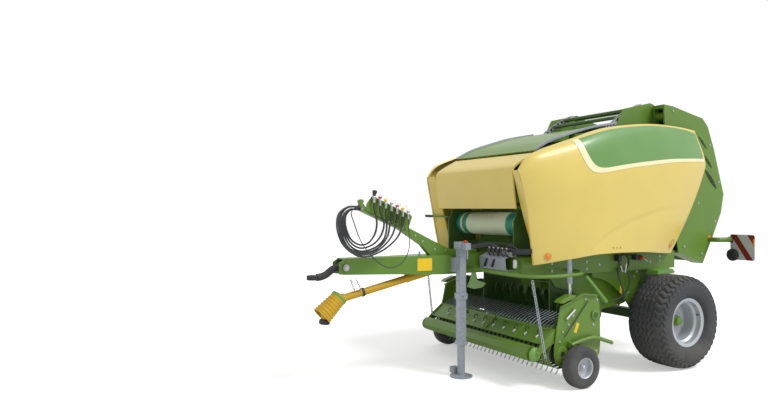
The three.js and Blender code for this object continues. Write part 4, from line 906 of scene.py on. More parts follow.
nuts = stamped(bolt(0.007, 0.009), ring_of(4, 0.046, (1.2185, guide_y, guide_height), 0.5),
               facing(LEFT))
cap = button([[0, 0.012], [0.012, 0.0115], [0.019, 0.006], [0.021, 0], [0, 0]],
             (1.251, guide_y, guide_height), LEFT)
make_pair("smooth_tyre", lathe(guide_tyre_section + other_half, middle, LEFT, 96), tyre_rubber,
          "guide_wheel_*", ["guide_tyre_*"], "guide_tyre", sharp=30)
make_pair("small_rim", lathe(guide_rim_section, middle, LEFT, 72), silver, "guide_wheel_*",
          ["guide_rim_*"], "rim", bevel=0.001, sharp=30)
make_pair("guide_nuts", merged(nuts, cap), steel, "guide_wheel_*", slot="rim")

# %% [markdown]
# ## Rear gate and lights
# The gate's side has three leaf-shaped openings with louvres behind them, drawn as flat dark green
# leaves of painted shade, a line of bolts and an amber reflector. The light boards are striped
# signs with a round lamp, a side lamp and tail lamps.

# %% Gate details
def leaf(start, end, width, count=28):
    """The outline of a leaf between two points: half a sine of that width on each side."""
    start, end = np.array(start, float), np.array(end, float)
    t = np.linspace(0, 1, count)[:, None]
    across = unit(end - start)[::-1] * [-1, 1]
    rise = np.sin(np.pi * t) ** 0.75 * width / 2
    spine = start + (end - start) * t
    return np.vstack([spine + rise * across, (spine - rise * across)[-2:0:-1]])


gate_face = 0.8
gate_leaves = [((0.825, 2.767), (1.003, 2.598), 0.036), ((0.919, 2.539), (1.102, 2.358), 0.046),
               ((0.947, 2.348), (1.196, 2.09), 0.066)]
gate_bolts = [(0.344, 3.046), (1.052, 2.66), (1.232, 2.188), (0.819, 1.908), (1.153, 1.673),
              (0.541, 1.364), (0.886, 1.267)]
dark, louvres = [], []
# Each opening is a flat dark green leaf on the gate's face: painted shade in place of an opening.
for start, end, width in gate_leaves:
    dark.append(prism(leaf(start, end, width), "x", gate_face - 0.0015, gate_face + 0.0006))
    middle, run, half = (np.array(start) + end) / 2, np.array(end) - start, 0.4 * width
    for share in (-0.22, 0.0, 0.22):
        y, z = middle + share * run
        louvres.append(block((0.8005, 0.8035), (y - half, y + half), (z - 0.003, z + 0.003)))
make_pair("gate_leaves", merged(*dark), opening_shade_green, "rear_gate")
# The louvres take the green with painted shade.
make_pair("gate_louvres", merged(*louvres), green_with_painted_shade, "rear_gate")
make_pair("gate_bolts", bolts(spots_at(0.8002, gate_bolts), radius=0.012), steel, "rear_gate")
reflector = button([[0, 0.006], [0.024, 0.005], [0.028, 0], [0, 0]], (0.8002, 1.038, 1.474),
                   LEFT, 24)
make_pair("gate_reflector", reflector, amber, "rear_gate")

# %% Light boards
def striped_sign(material, pitch=0.22, share=0.39):
    """Adds slanting red stripes to a finish: red where |x| + 0.67 z, counted in stripe pitches,
    has a fraction under the given share. Taking |x| makes the two boards mirror each other."""
    tree = material.node_tree
    spot = node(tree, "TexCoord").outputs["Object"]
    x, _, z = node(tree, "SeparateXYZ", {"Vector": spot}).outputs

    def worked(operation, *values):
        return node(tree, "Math", dict(enumerate(values)), operation=operation).outputs[0]

    slant = worked("MULTIPLY_ADD", z, 0.67, worked("ABSOLUTE", x))
    pitches = worked("MULTIPLY_ADD", slant, 1 / pitch, 1.236)
    red = worked("LESS_THAN", worked("FRACT", pitches), share)
    look = next(n for n in tree.nodes if n.type == "GROUP" and n.node_tree == weathering)
    plain = look.inputs["Colour"].default_value[:]
    tree.links.new(mix(tree, red, plain, rgb(118, 20, 8)), look.inputs["Colour"])
    return material


def rounded_outline(low, high, radius, steps=6):
    """A rectangle between two corners, with quarter circles of that radius at its corners."""
    t = np.linspace(0, np.pi / 2, steps)
    corners = [(high[0], high[1]), (low[0], high[1]), (low[0], low[1]), (high[0], low[1])]
    middle = (np.array(low) + high) / 2
    rows = []
    for turn, corner in enumerate(corners):
        angle = t + turn * np.pi / 2
        arc_centre = corner - radius * np.sign(corner - middle)
        rows.append(arc_centre + radius * np.stack([np.cos(angle), np.sin(angle)], -1))
    return np.vstack(rows)


# The boards' sheet is grey where the sign is white: the grey is painted shade.
shaded_striped_sign = striped_sign(finish("striped sign sheet with painted shade", (176, 182, 184), 0.4, dust=0.1))
board = prism(rounded_outline((0.917, 1.1862), (1.2348, 1.5088), 0.022), "y", 1.2905, 1.2975)
arm_y, arm_z = 1.04, 1.442
arm = [(0.8005, arm_y, arm_z), (0.89, arm_y, arm_z), (0.918, 1.052, arm_z), (0.93, 1.085, arm_z),
       (0.93, 1.284, arm_z)]
clamp = block((0.9, 0.96), (1.272, 1.2903), (1.405, 1.479))
lamp = [[0, 0.036], [0.016, 0.038], [0.028, 0.034], [0.06, 0.034], [0.073, 0.029], [0.079, 0.02],
        [0.079, 0], [0, 0]]
lamps = merged(button(lamp, (0.955, 1.29, 1.247), (0, -1, 0), 32), clamp)
side_lamp = block((1.2175, 1.2345), (1.283, 1.29), (1.372, 1.456))
tail = [block((0.94 + 0.09 * k, 1.026 + 0.09 * k), (1.2975, 1.322), (1.205, 1.283))
        for k in range(3)]
make_pair("light_panel", board, shaded_striped_sign, "rear_gate", ["light_board_*"], "light_board",
          bevel=0.001)
make_pair("light_arm", tube(bend(arm), 0.031, 20, UP), green, "rear_gate", slot="green_paint")
make_pair("light_lamps", lamps, black_plastic, "rear_gate", bevel=0.0015)
make_pair("side_lamp", side_lamp, amber, "rear_gate", bevel=0.002)
make_pair("tail_lamp", merged(tail[0], tail[2]), red_lens, "rear_gate", bevel=0.004)
make_pair("turn_lamp", tail[1], amber, "rear_gate", bevel=0.004)
print("gate and light boards made")

# %% [markdown]
# ## Net roll
# The spare roll of net lies across the front: pale net in the middle, with teal ends and a cream
# stripe in each. The colours are thin sleeves over one roll, which turns with them.

# %% Net roll
roll_centre = (0, -1.8, 1.663)
roll = [(0.04, -0.585), (0.128, -0.59), (0.1325, -0.587), (0.1332, -0.58), (0.1332, 0.58),
        (0.1325, 0.587), (0.128, 0.59), (0.04, 0.585)]
make("net_roll_wrap", lathe(roll, roll_centre, sides=96), net_pale, "net_roll", ["net_roll"], "net")


def sleeve(low, high):
    """A thin ring over the roll between two places along it."""
    ring = [(0.1328, low), (0.1338, low + 0.001), (0.1338, high - 0.001), (0.1328, high)]
    return lathe(ring, roll_centre, sides=96)


teal_ends = ((-0.588, -0.51), (-0.475, -0.385), (0.36, 0.49), (0.525, 0.588))
make("net_roll_teal", merged(*[sleeve(*ends) for ends in teal_ends]), teal, "net_roll")
make("net_roll_stripes", merged(sleeve(-0.51, -0.475), sleeve(0.49, 0.525)), net_cream, "net_roll")
core_end = 0.5899
core = lathe([(0.03, -core_end), (0.04, -core_end), (0.04, core_end), (0.03, core_end)],
             roll_centre, sides=32)
make("net_roll_core", core, net_cream, "net_roll")
grip = tube([(-0.87, -2.108, 1.743), (-0.94, -2.118, 1.744), (-1.01, -2.12, 1.745)],
            [0.016, 0.018, 0.016], 16, UP)
make("net_handle_grip", grip, black_plastic, "chassis", bevel=0.002)
rod = tube([(-0.69, -1.98, 1.74), (-0.75, -2.05, 1.741), (-0.88, -2.108, 1.743)], 0.011, 12, UP)
make("net_handle_rod", rod, green, "chassis", slot="green_paint")

# %% [markdown]
# ## Hose arm and couplers
# Seven couplers stand on a green rack beside the arm, each with its own coloured cap, so that the
# driver plugs in the right hose. Three of them have a thick black sleeve where the hose starts.

# %% Rack and couplers
cap_red = finish("red cap", (206, 62, 24), 0.4, dust=0.05, peel=0.1)
rack_outline = [(-3.556, 1.83), (-3.54, 1.893), (-3.48, 1.972), (-3.464, 1.972), (-3.0, 1.768),
                (-2.99, 1.752), (-3.03, 1.645), (-3.06, 1.612), (-3.2, 1.672), (-3.5, 1.8)]
coupler_nut = [(0, -hose_drop), (0.0125, -hose_drop), (0.0135, -0.052), (0.0135, -0.02),
               (0.017, -0.018), (0.0185, -0.01), (0.0185, 0.002), (0.014, 0.008), (0.0125, 0.016),
               (0, 0.016)]
coupler_cap = [(0, 0.014), (0.0165, 0.014), (0.0195, 0.018), (0.0195, 0.03), (0.016, 0.035),
               (0, 0.036)]
tall_cap = [(0, 0.03), (0.015, 0.03), (0.017, 0.036), (0.024, 0.04), (0.0255, 0.05),
            (0.024, 0.066), (0.016, 0.072), (0, 0.073)]
rack_parts = [prism(rack_outline, "x", 0.0883, 0.0963)]
couplers, black_caps, red_caps, yellow_caps, rings = [], [], [], [], []
cap_groups = [black_caps, red_caps, yellow_caps, couplers, red_caps, yellow_caps, couplers]
for i, (y, z) in enumerate(rack_spots):
    spot = (hose_x, y, z)
    rack_parts.append(block((0.0955, hose_x), (y - 0.009, y + 0.009), (z - 0.03, z - 0.012)))
    couplers.append(button(coupler_nut, spot, sides=6 if i % 2 else 20))
    cap_groups[i].append(button(coupler_cap, spot))
    if 1 <= i <= 5:
        t = np.linspace(0, 2 * np.pi, 25)
        size = 0.021 if i in (3, 5) else 0.016
        at = np.array([hose_x, y + (0.03 if i > 2 else 0.006), z + 0.038])
        loop = at + size * np.stack([0.25 * np.cos(t), np.cos(t), 0.8 * np.sin(t)], -1)
        rings.append(tube(loop, 0.0028, 8, (1, 0.2, 0)))
    if 3 <= i <= 5:
        line = route_line(hose_route(i), 161)
        line = line[: 4 + int(0.075 / np.linalg.norm(line[1] - line[0]))]
        ends = [0, 1, len(line) - 2, len(line) - 1]
        thick = np.interp(np.arange(len(line)), ends, [0.0135, 0.0155, 0.0155, 0.0125])
        black_caps.append(tube(line, thick, 18, (1, 0, 0.1)))
tall = button(tall_cap, (hose_x, *rack_spots[0]), (0, 0.1, 1), 22)
make("coupler_rack_plate", merged(*rack_parts), green, "chassis", ["coupler_rack"], "dark_iron",
     bevel=0.0015)
make("coupler_bodies", merged(*couplers), steel, "chassis", slot="dark_iron")
make("coupler_sleeves", merged(*black_caps, tall), black_plastic, "chassis")
make("coupler_caps_red", merged(*red_caps), cap_red, "chassis")
make("coupler_caps_yellow", merged(*yellow_caps), label_yellow, "chassis")
make("coupler_rings", merged(*rings), sign_white, "chassis")

# %% Bolts and hook on the arm
arm_bolts = [(-3.594, 1.84), (-3.443, 1.776), (-3.277, 1.705), (-3.109, 1.632), (-2.946, 1.549),
             (-2.853, 1.485), (-2.698, 1.392), (-2.548, 1.375), (-2.3, 1.36)]
make("arm_bolts", bolts(spots_at(0.0882, arm_bolts), radius=0.009), steel, "chassis",
     slot="dark_iron")
t = np.linspace(-0.25 * np.pi, 1.25 * np.pi, 18)
bow = np.stack([-3.592 + 0.024 * np.cos(t), 1.915 + 0.024 * np.sin(t)], -1)
hook = [(-3.545, 1.856), *bow, (-3.6095, 1.872)]
make("arm_hook", prism(hook, "x", 0.024, 0.082), green, "chassis", slot="green_paint", bevel=0.004)

# %% [markdown]
# ## Drawbar, jack and drive shaft
# The guard of the drive shaft is a yellow plastic tube with a stepped bell at the tractor's end,
# which carries rings for stiffness. Two thin chains hold it to the drawbar. A chain is one link
# stamped along a line, with every second link turned a quarter.

# %% Chains
def chain_link(length, width, wire):
    """One oval link round the z axis: two half circles joined by straight sides, closed."""
    t = np.linspace(0, 2 * np.pi, 16, endpoint=False)
    centre = np.stack([width / 2 * np.sin(t), 0 * t, (length - width) / 2 * np.sign(np.cos(t))
                       + width / 2 * np.cos(t)], -1)
    out = np.stack([np.sin(t), 0 * t, np.cos(t)], -1)
    v = np.linspace(0, 2 * np.pi, 7, endpoint=False)
    v = v[None, :, None]
    ring = np.cos(v) * out[:, None] + np.sin(v) * np.array([0, 1.0, 0])
    return grid(centre[:, None] + wire * ring, wrap_u=True, wrap_v=True)


def chain(start, end, length=0.042, width=0.024, wire=0.0045):
    """Links at even distances from start to end, every second one turned a quarter."""
    start, end = np.array(start, float), np.array(end, float)
    run = np.linalg.norm(end - start)
    count = max(2, int(round(run / (length - 2.2 * wire))))
    t = (np.arange(count) + 0.5)[:, None] / count
    places = start + (end - start) * t
    way = facing(np.gradient(places, axis=0))
    odd = np.arange(count) % 2 == 1
    turned_way = way.copy()
    turned_way[odd, :, 0], turned_way[odd, :, 1] = way[odd, :, 1], -way[odd, :, 0]
    return stamped(chain_link(length, width, wire), places, turned_way)


shaft_chains = [chain(top, low, 0.03, 0.017, 0.003)
                for top, low in (((0.03, -3.7, 1.116), (0.035, -3.65, 0.985)),
                                 ((0.07, -3.655, 1.116), (0.045, -3.575, 0.99)))]
make("shaft_chains", merged(*shaft_chains), steel, "chassis", slot="galvanised")

# %% Drive shaft guard
shaft_from, shaft_to = np.array([0, -2.2, 1.252]), np.array([0, -3.856, 0.893])
shaft_way = unit(shaft_to - shaft_from)
shaft_length = float(np.linalg.norm(shaft_to - shaft_from))
guard = [(0.03, 0), (0.07, 0.0), (0.078, 0.02), (0.074, 0.03), (0.078, 0.04), (0.066, 0.06),
         (0.07, 0.07), (0.055, 0.1), (0.05, 0.13), (0.0445, 0.15), (0.0445, 0.8),
         (0.0465, 0.802), (0.0465, 0.83), (0.039, 0.835), (0.039, shaft_length - 0.12),
         (0.05, shaft_length - 0.1), (0.056, shaft_length - 0.06), (0.056, shaft_length - 0.02),
         (0.03, shaft_length - 0.02)]
make("shaft_guard_tube", lathe(guard, shaft_from, shaft_way, 40), guard_yellow, "chassis",
     ["drive_shaft_guard"], "guard_plastic", sharp=30)
bell_from, bell_to = np.array([0, -3.826, 0.912]), np.array([0, -4.008, 0.744])
bell_way = bell_to - bell_from
bell_length = float(np.linalg.norm(bell_way))
t = np.linspace(0, 1, 46)
bell_radius = 0.083 + 0.022 * t + 0.0028 * np.clip(3 * np.sin(2 * np.pi * 7 * t), -1, 1)
outer = np.stack([bell_radius, bell_length * t], -1)
inner = np.stack([0.078 + 0.022 * t[::-1], bell_length * t[::-1]], -1)
bell = lathe(np.vstack([[(0.05, -0.045), (0.074, -0.03), (0.082, -0.012)], outer, inner,
                        [(0.07, -0.016), (0.05, -0.035)]]), bell_from, bell_way, 48)
make("shaft_bell", bell, guard_yellow, "chassis", slot="guard_plastic", sharp=30)
ring = [(0.08, -0.03), (0.088, -0.028), (0.09, -0.012), (0.0865, 0.0), (0.082, 0.0)]
# The ring takes the green with painted light.
make("shaft_bell_ring", lathe(ring, bell_from, bell_way, 40), green_with_painted_light, "chassis")
clamp = lathe([(0.0395, -0.012), (0.047, -0.012), (0.048, 0), (0.047, 0.012), (0.0395, 0.012)],
              (0, -3.543, 0.961), shaft_way, 32)
neck_way = (0, -0.12, -1)
end_cap = button([(0, 0), (0.052, 0.002), (0.057, 0.012), (0.057, 0.04), (0.045, 0.052),
                  (0, 0.053)], (0, -3.973, 0.71), neck_way, 32)
make("shaft_clamp", clamp, black_plastic, "chassis")
make("shaft_end_cap", end_cap, black_plastic, "chassis", ["drive_shaft_yoke"], "dark_iron")
neck = lathe([(0.03, -0.02), (0.05, -0.02), (0.047, 0.0), (0.043, 0.06), (0.03, 0.062)],
             (0, -3.965, 0.775), neck_way, 32)
make("shaft_neck", neck, guard_yellow, "chassis", slot="guard_plastic")

# %% Drawbar and jack details
plate_y, plate_z = np.meshgrid(np.linspace(-2.942, -2.77, 6), np.linspace(1.166, 1.3, 5),
                               indexing="ij")
plate_x = 0.15 - 0.13 * (-2.76 - plate_y)
sheet = np.stack([plate_x, plate_y, plate_z], -1)
make("drawbar_label", slab(sheet + [0.0022, 0, 0], sheet + [0.0004, 0, 0]), label_yellow, "chassis")
nose_bolt = bolts([(0.1035, -3.779, 1.236)], radius=0.026)
side_bolts = bolts([(0.1502, -2.3, 1.28), (0.1502, -2.12, 1.28)], radius=0.012)
make("drawbar_bolts", merged(nose_bolt, side_bolts), steel, "chassis", slot="dark_iron")
stud = button([(0, 0), (0.02, 0), (0.02, 0.012), (0.012, 0.016), (0.012, 0.04), (0.008, 0.046),
               (0, 0.047)], (0.05, -2.87, 1.328), sides=16)
make("drawbar_stud", stud, zinc, "chassis", slot="galvanised")
jack_x, jack_y, jack_face = 0.262, -2.465, -2.5052
crank_line = [(jack_x + 0.056, jack_y, 1.44), (jack_x + 0.1, jack_y, 1.44),
              (jack_x + 0.118, jack_y, 1.43), (jack_x + 0.12, jack_y, 1.40),
              (jack_x + 0.12, jack_y, 1.31)]
crank = tube(bend(crank_line, 24), 0.008, 10, (0, 1, 0))
pin = button([(0, -0.085), (0.011, -0.085), (0.011, 0.085), (0, 0.085)],
             (jack_x, jack_y - 0.01, 0.882), LEFT, 14)
ear = prism([(jack_x - 0.075, 0.86), (jack_x - 0.05, 0.855), (jack_x - 0.051, 0.91),
             (jack_x - 0.07, 0.905)], "y", jack_y - 0.03, jack_y + 0.01)
gear = block((jack_x + 0.0565, jack_x + 0.135), (jack_y - 0.036, jack_y + 0.036), (1.395, 1.468))
tube_bolts = bolts([(jack_x, jack_face, z) for z in (1.2, 1.05)], (0, -1, 0), 0.009)
make("jack_fittings", merged(crank, pin, ear, gear, tube_bolts), zinc, "chassis",
     slot="galvanised")
cap = button([(0, 0), (0.02, 0), (0.02, 0.02), (0.013, 0.028), (0, 0.029)],
             (jack_x + 0.1, jack_y - 0.01, 1.468), sides=18)
make("jack_cap", cap, cap_red, "chassis")
foot_box = block((jack_x - 0.15, jack_x - 0.062), (jack_y - 0.05, jack_y + 0.03), (0.0222, 0.088))
foot_bolt = bolts([(jack_x, jack_y - 0.0302, 0.036)], (0, -1, 0), 0.008)
make("jack_foot_box", merged(foot_box, foot_bolt), zinc, "jack_leg", slot="galvanised",
     bevel=0.003)

# %% Front of the frame: chains, hoses and fittings
for name, top, low, keep in (
    ("guard_chain_left", (0.99, -2.09, 1.1), (1.135, -2.05, 0.33), 0.5),
    ("guard_chain_right", (-0.95, -2.126, 1.0), (-0.985, -2.04, 0.475), 0.2),
):
    links = make(name, chain(top, low), zinc, "chassis", slot="galvanised")
    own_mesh(links)
pipes = []
for k in range(7):
    z, y = 1.392 + 0.016 * (k % 3), -2.07 + 0.026 * (k // 3)
    run = [(-0.1, y + 0.02, z - 0.02), (0.16, y - 0.01, z + 0.012),
           (0.32, y - 0.012, z + 0.03 - 0.006 * k), (0.47, y - 0.02, z + 0.012 - 0.013 * k),
           (0.62, y - 0.02, z - 0.055 + 0.014 * k), (0.74 + 0.03 * (k % 2), y - 0.01, z - 0.03),
           (0.9, y + 0.05, z - 0.012)]
    pipes.append(tube(bend(run, 48), 0.0125, 12, UP))
drop_x = [0.3 + 0.075 * k for k in range(5)]
for x in drop_x:
    drop = [(x, -2.105, 1.4), (x + 0.012, -2.13, 1.385), (x + 0.03, -2.14, 1.352),
            (x + 0.035, -2.115, 1.32)]
    pipes.append(tube(bend(drop, 16), 0.009, 10))
make("front_hoses", merged(*pipes), hose_rubber, "chassis", slot="hose")
fitting = button([(0, 0), (0.015, 0), (0.015, 0.02), (0.0105, 0.022), (0.0105, 0.034),
                  (0.014, 0.036), (0.014, 0.06), (0, 0.06)], (0, 0, 0), (0, -0.35, -1), 6)
valves = [block((0.5 + 0.11 * k, 0.575 + 0.11 * k), (-2.115, -2.04),
                (1.335 - 0.012 * k, 1.385 - 0.012 * k)) for k in range(2)]
make("front_fittings", merged(stamped(fitting, [(x, -2.098, 1.412) for x in drop_x]), *valves),
     steel, "chassis", slot="dark_iron", bevel=0.003)
knob = button([(0, -0.05), (0.022, -0.05), (0.026, -0.04), (0.026, 0.02), (0.02, 0.036),
               (0.01, 0.042), (0, 0.043)], (0.75, -2.115, 1.262), sides=22)
make("front_knob", knob, steel, "chassis", slot="dark_iron")
cover_slots = [prism([(x, 1.2), (x + 0.028, 1.2), (x + 0.078, 1.288), (x + 0.05, 1.288)], "y",
                     -2.1668, -2.15) for x in (0.27, 0.4)]
# The slots are dark sheets on the cover: painted shade.
make("cover_slots", merged(*cover_slots), shadow_black, "chassis")
outline = [(-0.262, 0.9), (-0.13, 0.888), (0.03, 0.92), (0.113, 0.979), (0.02, 0.992),
           (-0.06, 1.0), (-0.078, 1.057), (-0.1, 1.109), (-0.16, 1.109), (-0.2, 0.99)]
# The deflector takes the green with painted light.
make("frame_deflector", prism(outline, "y", -2.01, -2.0), green_with_painted_light, "chassis", bevel=0.002)
strips = []
for low, high in ((0.34, 0.42), (0.6, 0.69)):
    u, v = square(3, 9)
    face = front_strip(0.1 + 0.35 * u, low + (high - low) * v)
    strips.append(slab(face - [0, 0.0025, 0], face - [0, 0.0005, 0]))
make_pair("front_labels", merged(*strips), label_yellow, "hood_*")
print("front pieces made")

# %% [markdown]
# ## Pickup
# The pickup gathers the swath: five bars of sprung tines turn behind a row of steel bands, and the
# tines reach out between the bands. The crop guard lies over it with long straight fingers, and an
# eight-sided press roller runs in front.

# %% Pickup frame
rotor_y, rotor_z = -1.77, 0.33
cheek_face = 1.072
cheek_outline = [(-1.78, 0.83), (-1.476, 0.94), (-1.269, 0.912), (-1.23, 0.84), (-1.214, 0.704),
                 (-1.214, 0.4), (-1.224, 0.29), (-1.262, 0.25), (-1.4, 0.2), (-1.7, 0.18),
                 (-1.8, 0.205), (-1.85, 0.25), (-1.87, 0.32), (-1.87, 0.4), (-1.836, 0.586)]


def band_outline(steps=26):
    """One band's section: an arc round the rotor, then straight back to the two cross bars."""
    t = np.linspace(0.32 * np.pi, 1.62 * np.pi, steps)[:, None]
    arc = np.concatenate([np.cos(t), np.sin(t)], -1)
    outer, inner = [np.array([rotor_y, rotor_z]) + radius * arc for radius in (0.1553, 0.1503)]
    return np.vstack([outer, [(-1.4, 0.186), (-1.398, 0.193)], inner[::-1],
                      [(-1.55, 0.53), (-1.548, 0.536)]])


def across(x, y=0.0, z=0.0):
    """Places at each x, with the same y and z."""
    return np.stack([x, 0 * x + y, 0 * x + z], -1)


def rail(x0, x1, y, z, radius, sides=20):
    """A straight round bar along x."""
    return tube([(x0, y, z), (x1, y, z)], radius, sides, UP)


band_places = np.linspace(-1.024, 1.024, 28)
bands = stamped(prism(band_outline(), "x", -0.0225, 0.0225), across(band_places))
bars = [rail(-1.064, 1.064, -1.4, 0.19, 0.034, 24), rail(-1.064, 1.064, -1.545, 0.534, 0.014, 24)]
stow = [(1.118, -1.68, 0.425), (1.118, -1.56, 0.452), (1.118, -1.4, 0.474), (1.116, -1.31, 0.466),
        (1.112, -1.2, 0.43), (1.11, -1.08, 0.391)]
cheek = [
    prism(cheek_outline, "x", 1.06, cheek_face),
    prism([(-1.785, 0.832), (-1.476, 0.944), (-1.273, 0.918), (-1.275, 0.906), (-1.48, 0.93),
           (-1.78, 0.82)], "x", 1.0605, 1.1),
    button([(0, 0.004), (0.058, 0.004), (0.062, 0), (0, 0)], (cheek_face, -1.29, 0.692), LEFT, 32),
    lathe([(0.032, 0), (0.052, 0), (0.052, 0.014), (0.046, 0.018), (0.032, 0.018)],
          (cheek_face, -1.3, 0.7), LEFT, 32),
    lathe([(0.03, 0), (0.085, 0), (0.085, 0.01), (0.07, 0.016), (0.03, 0.016)],
          (cheek_face, rotor_y, rotor_z), LEFT, 36),
    prism([(-1.53, 0.42), (-1.47, 0.42), (-1.61, 0.19), (-1.66, 0.185), (-1.67, 0.215)], "x",
          cheek_face, 1.086),
    rail(cheek_face, 1.1685, guide_y, guide_height, 0.024),
    rail(1.1, 1.256, guide_y, guide_height, 0.0119, 16),
    rail(1.064, 0.9453, -1.54, 0.872, 0.022),
    tube(bend(stow), 0.021, 18),
    block((1.07, 1.12), (-1.69, -1.63), (0.395, 0.45)),
    block((1.07, 1.1), (-1.36, -1.3), (0.44, 0.49)),
    prism([(-1.83, 0.868), (-1.79, 0.9), (-1.66, 0.942), (-1.6, 0.935), (-1.62, 0.91),
           (-1.78, 0.862)], "x", 1.02, 1.11),
]
make("pickup_frame_painted", merged(bands, *bars, both(*cheek)), green, "pickup",
     ["pickup_frame"], "green_paint", bevel=0.0012)
cheek_bolts = [(-1.32, 0.6), (-1.674, 0.627), (-1.61, 0.716), (-1.76, 0.56), (-1.26, 0.86),
               (-1.43, 0.88), (-1.8, 0.46), (-1.28, 0.32)]
spring = tube([(1.09, -1.72, 0.69), (1.09, -1.6, 0.78)], 0.014, 16)
make_pair("cheek_fittings", merged(bolts(spots_at(1.0722, cheek_bolts)), spring), steel, "pickup",
          slot="dark_iron")
make_pair("cheek_rod", tube([(1.088, -1.41, 0.859), (1.09, -1.744, 0.512)], 0.006, 10),
          black_plastic, "pickup")
plate = prism([(-1.6, 0.545), (-1.565, 0.53), (-1.52, 0.628), (-1.556, 0.643)], "x",
              1.0721, 1.0735)
make_pair("cheek_label", plate, label_yellow, "pickup")

# %% Tines on the rotor
def turned_about_x(angle):
    """For each angle, the matrix that turns a shape that far about the x axis."""
    turns = np.zeros((len(angle), 3, 3))
    turns[:, 0, 0] = 1
    turns[:, 1, 1], turns[:, 1, 2] = np.cos(angle), -np.sin(angle)
    turns[:, 2, 1], turns[:, 2, 2] = np.sin(angle), np.cos(angle)
    return turns


def tine(x, steps=9):
    """One tine from the bar circle outwards: radius 0.105 to 0.226, leaning back as it goes."""
    t = np.linspace(0, 1, steps)
    radius, lean = 0.105 + 0.121 * t, 0.34 * t**1.6
    line = np.stack([x + 0 * t, radius * np.cos(lean), -radius * np.sin(lean)], -1)
    return tube(line, 0.0028, 5)


gaps = (band_places[:-1] + band_places[1:]) / 2
bars_round = turned_about_x(2 * np.pi * np.arange(5) / 5)
rows = [stamped(merged(tine(-0.006), tine(0.006)), across(gaps, rotor_y, rotor_z), turn)
        for turn in bars_round]
make("pickup_tines", merged(*rows), steel, "pickup_rotor", slot="dark_iron")

# %% Crop guard
def finger(x):
    """A long finger: from the guard's top bar it rises a little and lies back over the rotor."""
    t = np.linspace(0, 1, 14)
    line = np.array([(-1.846, 0.588), (-1.78, 0.634), (-1.7, 0.662), (-1.62, 0.684), (-1.55, 0.71)])
    yz = smooth_line(line, t)
    return np.column_stack([x + 0 * t, yz])


fingers = [tube(finger(x), np.linspace(0.0048, 0.003, 14), 6) for x in np.linspace(-0.98, 0.98, 38)]
make("guard_fingers", merged(*fingers), zinc, "crop_guard", slot="galvanised")
hooks, clips = [], []
for x in np.linspace(-0.74, 0.9, 10):
    line = [(x, -1.9, 0.553), (x, -1.915, 0.57), (x + 0.006, -1.945, 0.566),
            (x + 0.012, -1.958, 0.535), (x + 0.012, -1.94, 0.512)]
    hooks.append(tube(bend(line, 18), 0.0055, 8))
    clips.append(tube([(x + 0.012, -1.945, 0.52), (x + 0.012, -1.975, 0.496)], [0.011, 0.008], 10))
make("guard_hooks", merged(*hooks), black_plastic, "crop_guard")
make("guard_hook_pins", merged(*clips), sign_white, "crop_guard")
rib = prism([(-1.85, 0.578), (-1.856, 0.596), (-2.02, 0.47), (-2.012, 0.452)], "x", -0.006, 0.006)
ribs = stamped(rib, across(np.array([-1.03, -0.45, 0.1, 0.62, 1.03])))
make("guard_ribs", merged(ribs, rail(-1.03, 1.03, -2.014, 0.452, 0.007, 12)), green,
     "crop_guard", slot="green_paint", bevel=0.001)
roller_cap = button([(0, 0), (0.07, 0), (0.075, 0.01), (0.06, 0.03), (0.03, 0.04), (0, 0.042)],
                    (1.0145, -2.092, 0.352), LEFT, 28)
# The roller caps take the green with painted light.
make("roller_caps", both(roller_cap), green_with_painted_light, "crop_roller", slot="green_paint")

# %% Feed rotor stars and auger flights
def star(points, low, high):
    """A star outline: its radius swings between low and high, with leaning tips."""
    t = np.linspace(0, 2 * np.pi, points * 4, endpoint=False)
    k = np.arange(points * 4) % 4
    radius = np.array([low, 0.5 * (low + high), high, 0.75 * low + 0.25 * high])[k]
    return np.stack([radius * np.cos(t), radius * np.sin(t)], -1)


star_x = np.linspace(-0.56, 0.56, 26)
stars = stamped(prism(star(6, 0.085, 0.209), "x", -0.003, 0.003), across(star_x, -1.3, 0.7),
                turned_about_x(0.32 * np.arange(len(star_x))))


def flight(start, side):
    """One screw blade of the auger: an outer and an inner helix round the rotor, 2.2 turns long."""
    t = np.linspace(0, 1, 90)
    a = start + side * 2 * np.pi * 2.2 * t
    x = side * (0.62 + 0.4 * t)
    edges = [np.stack([x, -1.3 + r * np.cos(a), 0.7 + r * np.sin(a)], -1) for r in (0.2, 0.07)]
    blade = np.stack(edges, 1)
    return slab(blade, blade + [0.004, 0, 0])


flights = [flight(start, side) for side in (1, -1) for start in (0, np.pi)]
# The feed stars and auger flights take the green with painted shade.
make("feed_stars", merged(stars, *flights), green_with_painted_shade, "feed_rotor", slot="dark_green_paint")
print("pickup pieces made")

# %% [markdown]
# ## Small pieces under the hoods
# A loop of hose, a valve with a red cap, struts and bolts show between the hood and the wheel.
# Small pieces like these tell the eye how large the machine is.

